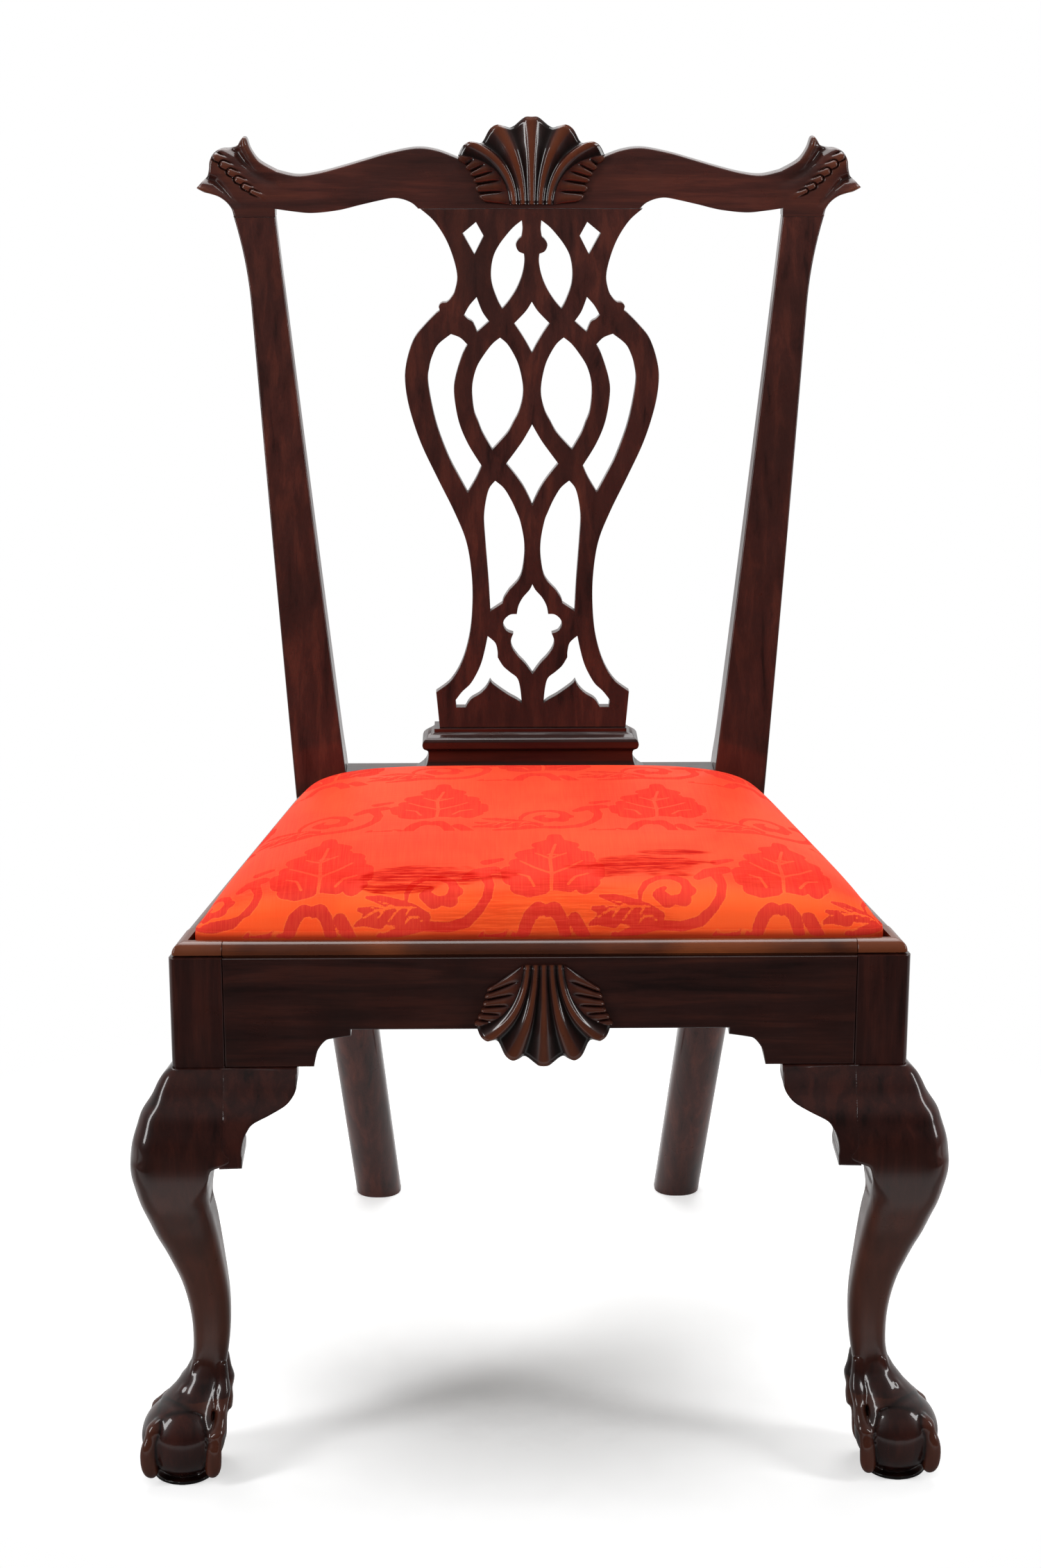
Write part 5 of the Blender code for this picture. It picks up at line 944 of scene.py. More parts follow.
def step_edge(steps=8):
    arch = FOOT + RISE
    return [(d * STEP, arch - drop * RISE) for d, drop in outline_of(STEP_SHARES, steps) + [STEP_SHARES[-1][-1]]]


def rail_plate(outline):
    return rounded_plate(outline, [], lambda x, z: 0.0 * x, lambda x, z: THICK + 0.0 * x, 0.0010, 0.0010, COARSE)[:2]


half_rail = HALF_FRONT - POST - GAP
edge = [(ARCH, FOOT + RISE)] + [(ARCH + d, z) for d, z in step_edge()] + [(half_rail, FOOT)]
outline = mirrored([(0.0, FOOT + RISE)] + edge + [(half_rail, FACE_TOP), (0.0, FACE_TOP)])
outline = [p for i, p in enumerate(outline) if i == 0 or p != outline[i - 1]]
add("front_rail_face", *rail_plate(outline), WOOD_X, ["front_seat_rail"])
section = lip_points() + [(THICK, LEDGE - 0.001), (THICK, LEDGE - 0.004), (QUIRK + 0.0004, LEDGE - 0.004)]
add("front_rail_lip", *outward(*prism(section, lambda y, z: (-half_rail, y, z), lambda y, z: (half_rail, y, z))),
    LIP_X, ["front_seat_rail"])

for side, word in SIDES:
    y0, y1 = POST + GAP, DEPTH - GAP
    start = y0 + half_rail + GAP - ARCH
    edge = [(y0, FOOT)] + [(start - d, z) for d, z in reversed(step_edge())] + [(y1, FOOT + RISE)]
    outline = edge + [(y1, FACE_TOP), (y0, FACE_TOP)]
    verts, faces = rail_plate(outline)
    verts = np.array([(side * side_x(a, z, n), a, z) for a, n, z in verts])
    rail = "side_rail_" + word
    add(rail + "_face", verts, outward(verts, faces, 0)[1], WOOD_Y, [rail])
    add(rail + "_lip", *outward(*prism(section, lambda n, z: (side * side_x(y0, z, n), y0, z),
                                       lambda n, z: (side * side_x(y1, z, n), y1, z))), LIP_Y, [rail])

# Front legs
LEG = [(row[0] * FOOT, *row[1:]) for row in LEG_SHARES]
FOOT_SHIFT = {-1: -0.0035, 1: 0.0055}
SHIN_TOP, WEB_LOW, WEB_TOP = 0.31, 0.050, 0.090
BALL_EDGE = BALL + 0.0012


def leg_bend(side, z):
    """The two feet of the real chair stand a little differently."""
    return FOOT_SHIFT[side] * ease((SHIN_TOP - np.asarray(z, float)) / 0.27)


def post_plan(side, inset, z):
    radius = max(0.006 - inset, 0.0015)
    ring = rounded_ring((inset, inset), (POST, POST), z, (radius, 0.0015, 0.0015, 0.0015), 8)
    return [(side * (HALF_FRONT - a - TAPER * b * (1 - a / POST)), b, z) for a, b, z in ring]


def leg_ring(side, z, steps=12):
    reach, width, radius = table(LEG, z)
    out = reach * KNEE_REACH
    wide = ANKLE + width * (KNEE_WIDTH - ANKLE)
    soft = float(ease((0.268 - z) / 0.03))
    inner = 0.0009 + (radius * wide - 0.0009) * soft
    ring = rounded_ring((-out, -out), (wide - out, wide - out), z, (radius * wide, inner, inner, inner), steps)
    found = []
    for a, b, c in ring:
        lean = min(max(1 - a / POST, 0), 1) * max(b, 0) * TAPER * float(ease((z / FOOT - 0.5) / 0.25))
        found.append((side * (HALF_FRONT - a - lean), b, c))
    return found


def circle(count):
    """Cosine and sine of equal steps of a turn."""
    turns = [2 * math.pi * k / count for k in range(count)]
    return [(math.cos(a), math.sin(a)) for a in turns]


def talon(side, angle):
    out = np.array((side * math.cos(angle), -math.sin(angle), 0.0))
    across = np.array((-out[1], out[0], 0.0))
    inward = np.array((-side, 1.0, 0.0)) / math.sqrt(2)
    axis = np.array((side * (HALF_FRONT - INSET), INSET, 0.0))
    rows = [(i, *row) for i, row in enumerate(TALON_SHARES)]
    values = table(rows, np.linspace(0, len(rows) - 1, 46))
    rings = []
    up = np.array((0, 0, BALL_H / 2))
    path = [axis + inward * (s * 0.031) + out * (r * BALL) + up * h for r, h, _, s in values]
    for i, p in enumerate(path):
        ahead = path[min(i + 1, len(path) - 1)] - path[max(i - 1, 0)]
        ahead /= np.linalg.norm(ahead)
        normal = np.cross(across, ahead)
        thick = 0.0067 * values[i][2]
        ring = []
        for c, s in circle(20):
            # Outer side drawn up to a ridge
            sharp = 1 + 0.16 * max(0.0, s) ** 3
            ring.append(p + across * (thick * c * (1 - 0.12 * max(0.0, s))) + normal * (thick * 1.3 * s * sharp))
        rings.append(ring)
    return rings


PAD = 0.0034


def ball_rings(side):
    """The ball, on a pad of this height."""
    cx = side * (HALF_FRONT - INSET)
    sizes = [(0.0235, 0.0), (0.0245, 0.0006), (0.0245, PAD)]
    low = math.asin((PAD - BALL_Z) / BALL)
    for k in range(40):
        a = low + (math.radians(86) - low) * k / 39
        sizes.append((BALL * math.cos(a), BALL_Z + BALL * math.sin(a)))
    return [[(cx + radius * c, INSET + radius * s, z) for c, s in circle(64)] for radius, z in sizes]


def arch_height(turn):
    """Lower edge of the web between two talons, by the angle from the middle between them, in degrees."""
    fall = 0.0035 * (turn / 34) ** 2 + 0.030 * max((abs(turn) - 34) / 7, 0) ** 2
    return max(0.0612 - fall, 0.030)


# Heights of the web with how far its middle lies inward, and how wide it is above the ball
WEB_SHIFT = ((WEB_LOW, 0.0), (0.056, 0.003), (0.062, 0.0085), (0.070, 0.016), (0.080, 0.0225), (WEB_TOP, 0.027))
WEB_REACH = ((0.056, 0.0262), (0.062, 0.0225), (0.070, 0.0187), (0.080, 0.0150), (WEB_TOP, 0.0125))


def web_point(side, turn, z, lift=0.0022):
    """Point of the skin that covers the ball from the ankle down to its arches."""
    axis = np.array((side * (HALF_FRONT - INSET), INSET))
    inward = np.array((-side, 1.0)) / math.sqrt(2)
    if z < WEB_LOW:
        radius = math.sqrt(max(BALL ** 2 - (z - BALL_Z) ** 2, 1e-8)) + lift
    else:
        radius = float(np.interp(z, *zip((WEB_LOW, math.sqrt(BALL ** 2 - 0.0175 ** 2) + lift), *WEB_REACH)))
    centre = axis + inward * float(np.interp(z, *zip(*WEB_SHIFT)))
    return (centre[0] + radius * math.cos(turn), centre[1] + radius * math.sin(turn), z)


def web_rings(side, count=120):
    turns = [2 * math.pi * k / count for k in range(count)]
    lows = [float(arch_height((math.degrees(t) + 45) % 90 - 45)) for t in turns]
    rings = [[web_point(side, t, low, -0.003) for t, low in zip(turns, lows)]]
    for k in range(24):
        s = k / 23
        rings.append([web_point(side, t, low + s * (WEB_TOP - low)) for t, low in zip(turns, lows)])
    return rings


def remeshed(parts, voxel):
    """Union of closed shapes by voxels, relaxed, as points and faces."""
    verts, faces = [], []
    for v, f in parts:
        faces += [[len(verts) + i for i in g] for g in f]
        verts += [tuple(p) for p in v]
    obj = bare("remesh", verts, faces)
    mod = obj.modifiers.new("voxels", "REMESH")
    mod.mode, mod.voxel_size = "VOXEL", voxel
    relax = obj.modifiers.new("relax", "SMOOTH")
    relax.iterations, relax.factor = 4, 0.5
    return points_of(realised(obj))


SQUARE_LOW, SQUARE_HIGH = 0.272, 0.279
levels = np.unique(np.concatenate([np.linspace(LEG[-1][0], SQUARE_LOW, 60), np.linspace(SQUARE_LOW, SQUARE_HIGH, 6),
                                   np.linspace(SQUARE_HIGH, FOOT - 0.0005, 34)]))[::-1]
for side, word in SIDES:
    leg = "front_leg_" + word
    web = web_rings(side)
    lofts = [[leg_ring(side, z) for z in levels], ball_rings(side),
             *[talon(side, math.radians(45 + 90 * k)) for k in range(4)], web]
    verts, faces = remeshed([outward(*loft(rings)) for rings in lofts], 0.0011)
    verts[:, 0] += leg_bend(side, verts[:, 2])
    cx = side * (HALF_FRONT - INSET) + FOOT_SHIFT[side]
    away = np.linalg.norm(verts - np.array((cx, INSET, BALL_Z)), axis=1)
    low = verts[:, 2] < BALL_H
    claw = np.clip((away - BALL - 0.0012) / 0.004, 0, 1) * low
    # Painted shade in the creases where the ball comes out from under the web and meets the talons, and the dark pad
    # below
    rim = np.array(web[1]) + np.array((FOOT_SHIFT[side], 0.0, 0.0))
    crease = np.zeros(len(verts))
    near = np.flatnonzero(low & (away < BALL_EDGE))
    gap = np.min(np.linalg.norm(verts[near, None] - rim[None], axis=2), axis=1)
    crease[near] = 0.9 * np.exp(-(gap / 0.0026) ** 2)
    crease = np.maximum(crease, 0.85 * low * np.exp(-((away - BALL - 0.0011) / 0.0008) ** 2))
    crease = np.maximum(crease, np.clip((0.0042 - verts[:, 2]) / 0.001, 0, 1))
    # Lighter lower leg above the foot: a painted reflection
    shin_reflection = 0.42 * ease((SHIN_TOP - verts[:, 2]) / 0.14) * ease((verts[:, 2] - 0.075) / 0.04)
    add(leg + "_carving", verts, faces, WOOD_Z, [leg], None,
        floats={"ridge": np.maximum(claw * 0.45, shin_reflection), "hollow": crease})
    rings = [post_plan(side, 0.0, FOOT - 0.0002), post_plan(side, 0.0, FACE_TOP)]
    rings += [post_plan(side, max(n, 0.0), z) for n, z in lip_points()[1:-2]]
    far = POST + 0.004
    points = ((side_x(LIP, FACE_TOP, LIP), LIP), (side_x(far, FACE_TOP, LIP), far), (HALF_FRONT - far, far),
              (HALF_FRONT - far, LIP))
    cut = prism(points, lambda x, y: (side * x, y, LEDGE), lambda x, y: (side * x, y, LIP_TOP + 0.004))
    verts, faces = difference(loft(rings), cut)
    # The post's top at the lip is lighter, like the rails' lips: painted light from above
    add(leg + "_post", verts, faces, WOOD_Z, [leg], floats={"ridge": 1.6 * (verts[:, 2] > FACE_TOP + 0.0012)})

# Knee brackets


def knee_out(z):
    return table(LEG, np.minimum(z, FOOT))[..., 0] * KNEE_REACH


bracket_foot, bracket_top = FOOT - BR_H, FOOT - GAP
edge = [(a * BR_LEN, bracket_foot + h * (bracket_top - bracket_foot)) for a, h in outline_of(BRACKET_EDGE_SHARES, 8)]
outline = [(-0.004, bracket_top), *edge, (BRACKET_EDGE_SHARES[0][-1][0] * BR_LEN, bracket_foot),
           (-0.004, bracket_foot)]
flat, faces, _ = rounded_plate(outline, [], lambda a, z: 0.0003 - knee_out(z), lambda a, z: BR_BACK + 0.0 * a,
                               lambda p: np.where(p[:, 0] < 1e-5, 0.0001, 0.0016), 0.0006, 0.0045)
start = POST + GAP
for side, word in SIDES:
    front_place = np.array([(side * (HALF_FRONT - start - a), b, z) for a, b, z in flat])
    side_place = np.array([(side * (HALF_FRONT - b - TAPER * (start + a)), start + a, z) for a, b, z in flat])
    for kind, placed in (("front", front_place), ("side", side_place)):
        placed[:, 0] += leg_bend(side, placed[:, 2])
        node = f"knee_bracket_{kind}_{word}"
        add(node + "_body", placed, outward(placed, faces, 0)[1], WOOD_Z, [node], 50)

# Solids that keep their own shape
for names, material in (
    (("rear_seat_rail",), WOOD_X),
    ([f"glue_block_{end}_{word}" for end in ("front", "rear") for _, word in SIDES], BLOCK_WOOD),
    (("seat_frame_front", "seat_frame_rear"), PINE_X), (("seat_frame_left", "seat_frame_right"), PINE_Y),
    ([f"webbing_{way}_{i}" for way in ("across", "along") for i in (1, 2, 3)], WEBBING),
    (("sackcloth",), SACK),
):
    for node in names:
        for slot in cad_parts[node].material_slots:
            slot.material = material


# Slip seat cover

def seat_x(y, inset):
    return side_x(y, FACE_TOP, LIP + inset)


SEAT_FRONT, SEAT_BACK = LIP + CLEAR, SEAT_REAR - CLEAR
COVER_FOOT, FRAME_TOP = LEDGE + GAP, LEDGE + 0.0012 + 2 * GAP + 0.019
CLOTH_TOP = FRAME_TOP + 2 * 0.0012 + 3 * GAP + 0.0008 + GAP
NX, NY = 96, 78


def plan_point(u, v, inset):
    """Plan of the seat with rounded corners, u from -1 to 1 and v from 0 to 1."""
    y = SEAT_FRONT + inset + v * (SEAT_BACK - SEAT_FRONT - 2 * inset)
    half = seat_x(y, CLEAR + inset)
    x = u * half
    r = 0.014 - min(inset, 0.01)
    dx = np.maximum(np.abs(x) - (half - r), 0)
    dy = np.maximum(np.maximum(SEAT_FRONT + inset + r - y, y - (SEAT_BACK - inset - r)), 0)
    d = np.hypot(dx, dy)
    m = np.maximum(dx, dy)
    k = np.where(d > 1e-9, m / np.maximum(d, 1e-9), 1.0)
    x = np.sign(x) * (np.abs(x) - dx + dx * k)
    lower = y < (SEAT_FRONT + SEAT_BACK) / 2
    y = np.where(lower, y + dy - dy * k, y - dy + dy * k)
    return x, y


def cover_mesh(height, lean):
    """Top and sides of the cover as a grid, down to a flat ring at the foot that is left open."""
    u, v = grid_of(-1, 1, NX + 1, NY + 1)
    x, y = plan_point(u, v, lean)
    w = 2 * v - 1
    crown = (np.clip(1 - np.abs(u) ** 5, 0, 1) * np.clip(1 - np.abs(w) ** 5, 0, 1)) ** 0.5
    z = EDGE_Z + (height - (EDGE_Z - COVER_FOOT)) * crown * (0.92 + 0.08 * (1 - v))
    top = np.stack([x, y, z], -1).reshape(-1, 3)
    n = NY + 1
    border = ([i * n for i in range(NX + 1)] + [NX * n + j for j in range(1, NY + 1)]
              + [i * n + NY for i in range(NX - 1, -1, -1)] + [j for j in range(NY - 1, 0, -1)])
    faces = grid_faces(NX + 1, n)
    bu, bv = u.reshape(-1)[border], v.reshape(-1)[border]
    points, rows = [top], [border]
    start = len(top)
    for k in range(1, SIDE_ROWS + 1):
        s = k / SIDE_ROWS
        sx, sy = plan_point(bu, bv, lean * (1 - s))
        sz = np.full(len(border), EDGE_Z + (COVER_FOOT + 0.0016 - EDGE_Z) * s)
        points.append(np.stack([sx, sy, sz], -1))
        rows.append(list(range(start, start + len(border))))
        start += len(border)
    for a, b in zip(rows, rows[1:]):
        for i in range(len(border)):
            j = (i + 1) % len(border)
            faces.append((a[j], a[i], b[i], b[j]))
    return np.concatenate(points), faces, rows, border


EDGE_Z = FRAME_TOP + 0.004
SIDE_ROWS = 6
CROWN = 0.0655
SIM_FRAMES = 20
points, faces, rows, border = cover_mesh(CROWN - 0.007, 0.0022)
rest = points.copy()
grid = points[: (NX + 1) * (NY + 1)]
grid[:, 2] += 0.006 * np.clip((grid[:, 2] - EDGE_Z) / (CROWN - 0.03), 0, 1)
pad = bare("cover_sim", rest, [*faces, rows[-1]])
pins = pad.vertex_groups.new(name="pins")
pins.add([int(i) for r in rows[-3:] for i in r], 1.0, "REPLACE")
cloth = pad.modifiers.new("cloth", "CLOTH")
for key, value in (("use_pressure", True), ("uniform_pressure_force", 4.0), ("vertex_group_mass", "pins"),
                   ("tension_stiffness", 18), ("compression_stiffness", 12), ("bending_stiffness", 2.0),
                   ("quality", 5)):
    setattr(cloth.settings, key, value)
cloth.settings.effector_weights.gravity = 0.0
scene = bpy.context.scene
for timed in (cloth.point_cache, scene):
    timed.frame_start, timed.frame_end = 1, SIM_FRAMES
for number in range(1, SIM_FRAMES + 1):
    scene.frame_set(number)
moved = coordinates(pad.evaluated_get(bpy.context.evaluated_depsgraph_get()).data)
scene.frame_set(1)
bpy.data.objects.remove(pad, do_unlink=True)
shift = moved - rest
size = np.linalg.norm(shift, axis=1)
shift *= (np.minimum(size, 0.010) / np.maximum(size, 1e-9))[:, None]
# The tacked edges hold the roll's shape, and the simulated cloth shows more towards the middle
inside = np.minimum(seat_x(grid[:, 1], 0) - np.abs(grid[:, 0]),
                    np.minimum(grid[:, 1] - SEAT_FRONT, SEAT_BACK - grid[:, 1]))
share = 0.45 * ease(np.clip((inside - 0.03) / 0.09, 0, 1))
grid += (rest[: len(grid)] + shift[: len(grid)] - grid) * share[:, None]
# The cover stays clear of the lips and reaches the crown of the solid
top_z = points[:, 2].max()
scale = (COVER_FOOT + CROWN - EDGE_Z) / (top_z - EDGE_Z)
points[:, 2] = np.where(points[:, 2] > EDGE_Z, EDGE_Z + (points[:, 2] - EDGE_Z) * scale, points[:, 2])
below = points[:, 2] < LIP_TOP + 0.002
limit = np.array([seat_x(y, CLEAR * 0.4) for y in points[:, 1]])
points[:, 0] = np.where(below, np.clip(points[:, 0], -limit, limit), points[:, 0])
points[:, 1] = np.where(below, np.clip(points[:, 1], LIP + 0.0005, SEAT_REAR - 0.0005), points[:, 1])


def finished_cover(points, faces):
    """Subdivided top and sides, then the hem under the frame, an inner wall and a ceiling over the sackcloth."""
    plan = [axis.ravel() for axis in grid_of(-1, 1, NX + 1, NY + 1)]
    plan = [np.concatenate([axis, *[axis[border]] * SIDE_ROWS]) for axis in plan]
    obj = bare("cover_open", points, faces, {"plan_u": plan[0], "plan_v": plan[1]})
    fine = obj.modifiers.new("fine", "SUBSURF")
    fine.levels = fine.render_levels = 2
    done = realised(obj)
    bm = bmesh.new()
    bm.from_mesh(done)
    bpy.data.meshes.remove(done)
    lu, lv = bm.verts.layers.float["plan_u"], bm.verts.layers.float["plan_v"]
    rim = [e for e in bm.edges if len(e.link_faces) == 1]
    neighbours = {}
    for a, b in (pair for e in rim for pair in (tuple(e.verts), tuple(e.verts)[::-1])):
        neighbours.setdefault(a, []).append(b)
    loop, ahead = [], rim[0].verts[0]
    while not loop or ahead is not loop[0]:
        loop.append(ahead)
        ahead = [v for v in neighbours[ahead] if len(loop) < 2 or v is not loop[-2]][0]
    bu, bv = np.array([v[lu] for v in loop]), np.array([v[lv] for v in loop])
    # Insets and heights: round the foot, under the frame, back along the hem's upper side, up the wall, the ceiling
    hem = ((0.0006, 0.0004), (0.0016, 0), (0.012, 0), (0.0215, 0), (0.022, 0.0005), (0.0215, 0.0009),
           (0.0125, 0.0009), (0.0012, 0.0009), (0.0009, 0.004))
    for inset, z in (*((a, COVER_FOOT + b) for a, b in hem), (0.0009, FRAME_TOP), (0.0015, CLOTH_TOP),
                     (0.03, CLOTH_TOP)):
        x, y = plan_point(bu, bv, inset)
        ring = [bm.verts.new((a, b, z)) for a, b in zip(x, y)]
        for i in range(len(ring)):
            k = (i + 1) % len(ring)
            bm.faces.new((loop[i], loop[k], ring[k], ring[i]))
        loop = ring
    bm.faces.new(loop)
    return taken(bm)[:2]


# Damask pattern

REPEAT_X, REPEAT_Y = 0.178, 0.146

# Strokes of one repeat as (across, up the cloth from the lip, radius) in mm
MOTIF = [
    # flower
    [(-13.5, -0.7, 4.4), (-10.9, 8.2, 4.9), (-6.9, 16.9, 5.2), (-1.0, 22.5, 5.6)],
    [(-1.0, 22.5, 5.6), (4.2, 19.9, 5.0), (10.8, 21.9, 6.0)],
    [(10.8, 21.9, 6.0), (15.6, 14.8, 4.8), (18.2, 6.6, 4.4), (20.0, -0.9, 4.4)],
    [(26.4, 13.7, 5.0), (30.6, 6.5, 5.0), (34.3, -0.5, 5.0)],
    # stem
    [(-122.5, 1.0, 2.1), (-105.4, 4.8, 3.7), (-88.6, 9.1, 3.7), (-69.9, 8.0, 3.7), (-55.8, 11.5, 4.2),
     (-46.3, 20.7, 3.7), (-39.9, 32.2, 3.7), (-37.9, 45.8, 3.7), (-41.7, 58.1, 4.8)],
    [(-55.8, 54.5, 3.7), (-47.4, 62.1, 5.8), (-34.6, 66.1, 5.3)], [(-40.9, 77.6, 4.2), (-28.7, 82.5, 2.7)],
    # leaf
    [(46.7, 33.0, 1.6), (56.5, 31.0, 4.2), (67.2, 26.7, 5.3), (80.3, 21.6, 5.3), (91.0, 15.4, 4.2)],
    [(41.1, 21.8, 2.1), (49.9, 19.7, 4.8), (64.3, 15.5, 5.8), (77.5, 14.5, 5.8), (88.1, 11.4, 4.2)],
    [(38.5, 10.1, 1.6), (45.3, 12.6, 3.7), (56.5, 11.0, 4.2)],
    # spiral
    [(-101.6, 27.7, 1.1), (-101.1, 36.7, 2.1), (-96.2, 47.2, 2.7), (-86.7, 53.9, 2.7), (-76.1, 54.7, 3.2),
     (-67.2, 49.3, 3.7), (-64.0, 39.9, 4.2)], [(-64.0, 38.4, 6.0), (-66.5, 34.5, 4.4)],
    [(-66.5, 34.5, 4.4), (-68.4, 29.2, 6.2)], [(-68.4, 29.2, 6.2), (-76.0, 29.5, 4.2), (-80.4, 28.0, 6.2)],
    [(-80.4, 28.0, 6.2), (-86.5, 34.0, 5.4)], [(-86.5, 32.5, 4.2), (-86.5, 37.9, 3.2), (-82.4, 41.5, 2.1)],
    # buds
    [(-46.2, -0.5, 2.1), (-42.8, 4.0, 1.6)], [(-25.4, 4.9, 1.1), (-21.1, 3.3, 2.1), (-18.2, -0.6, 2.7)],
    [(-41.0, -1.1, 3.2), (-28.3, 1.1, 2.7)],
    # blossom
    [(-15, 42, 7.5), (-8, 38, 6), (2.4, 40, 5.2)], [(15.5, 44, 5.5), (23, 42, 5)], [(34.5, 41, 6.3), (41, 48, 6)],
    [(-21, 52, 7), (-22, 64, 7.5)], [(-16, 76, 7), (-16, 77, 7)], [(44, 58, 7), (44, 70, 7)],
    [(38, 80, 7), (38, 81, 7)], [(-8, 50, 12), (30, 52, 12)], [(-8, 64, 13), (30, 64, 13)],
    [(-4, 78, 12), (28, 78, 12)], [(-10, 91, 8.5), (2, 97, 8)], [(14, 101, 9), (26, 98, 8)],
    [(36, 90, 8), (26, 84, 8)], [(2, 110, 7), (14, 116, 9), (26, 110, 7)], [(14, 116, 8), (14, 130, 6)],
]
VEINS = [
    [(-3.0, 12.3, 0.9), (2.6, 15.3, 1.1), (9.4, 11.7, 1.1), (13.8, 3.7, 0.9)],
    [(43.5, 14.6, 0.8), (53.8, 20.7, 1.1), (67.4, 23.8, 1.1), (83.9, 22.8, 0.9)],
    [(53.8, 20.7, 0.9), (49.4, 24.5, 0.7)], [(61.0, 22.8, 0.9), (57.2, 17.1, 0.8), (54.6, 14.6, 0.7)],
    [(67.4, 23.8, 0.9), (61.1, 27.3, 0.8), (55.3, 28.6, 0.7)],
    [(72.4, 23.8, 0.9), (67.3, 17.5, 0.8), (63.2, 12.5, 0.7)], [(80.3, 23.8, 0.9), (75.9, 16.5, 0.7)],
    [(-102.6, 10.7, 0.8), (-98.8, 15.3, 1.0), (-92.5, 15.3, 1.0), (-87.4, 10.6, 0.8)],
    [(-77.0, 37.8, 2.2), (-76.3, 36.1, 2.2)], [(9, 38, 1.2), (10, 60, 1.4), (9, 84, 1.3), (14, 112, 1.1)],
    [(10, 60, 1.2), (-4, 70, 1.1), (-14, 80, 0.9)], [(10, 60, 1.2), (24, 70, 1.1), (34, 80, 0.9)],
    [(-4, 44, 1.1), (-8, 56, 1.1), (-16, 60, 0.9)], [(22, 46, 1.1), (28, 56, 1.1), (38, 60, 0.9)],
    [(9, 84, 1.2), (-2, 94, 0.9)], [(9, 84, 1.2), (22, 94, 0.9)],
]


def field(shapes, x, y):
    best = np.full(x.shape, 1e3)
    for shape in shapes:
        pts = np.asarray(shape, float)
        for p, q in zip(pts, pts[1:]):
            s, gap = beside(p, q, x, y)
            best = np.minimum(best, gap - (p[2] + s * (q[2] - p[2])))
    return best


def damask_field(x, y):
    """Distances in mm to the figure's and the veins' edges, below 0 inside.

    Every second row stands half a repeat aside.
    """
    row = np.floor(y / REPEAT_Y)
    my = (y - row * REPEAT_Y) * 1000
    found = np.full((2, *x.shape), 1e3)
    for turn in (-1, 0):
        mx = (((x - (row % 2) * REPEAT_X / 2) / REPEAT_X) % 1.0 + turn) * REPEAT_X * 1000
        found = np.minimum(found, [field(MOTIF, mx, my), field(VEINS, mx, my)])
    return found


# Length of cloth from the lip, by the depth along the cover's middle
COVER_RUN = ((-0.2485, 0.0197), (-0.2445, 0.0265), (-0.2405, 0.0318), (-0.2345, 0.0390), (-0.2285, 0.0457),
             (-0.2205, 0.0542), (-0.2105, 0.0646), (-0.1885, 0.0869), (0.1015, 0.3777), (0.1175, 0.3952),
             (0.1295, 0.4121))


def cloth_run(y, z):
    rows = np.array(COVER_RUN)
    return np.where(y < rows[0, 0], (z - LIP_TOP) * 1.03, np.interp(y, rows[:, 0], rows[:, 1]))


# Worn patches behind the front roll: middle and half width across, and where they start and end along the cloth
WORN = ((-0.085, 0.060, 0.046, 0.072), (0.082, 0.052, 0.054, 0.088), (-0.105, 0.03, 0.036, 0.05),
        (0.105, 0.028, 0.090, 0.100))

DARK_WEFT, LOOSE_THREAD = (0.48, 0.004, 0.001), (0.50, 0.010, 0.006)
FIGURE_EDGE, BRIGHT_WARP = (1.0, 0.20, 0.05), (1.0, 0.135, 0.045)
LIP_SHADE = (0.075, 0.004, 0.004)


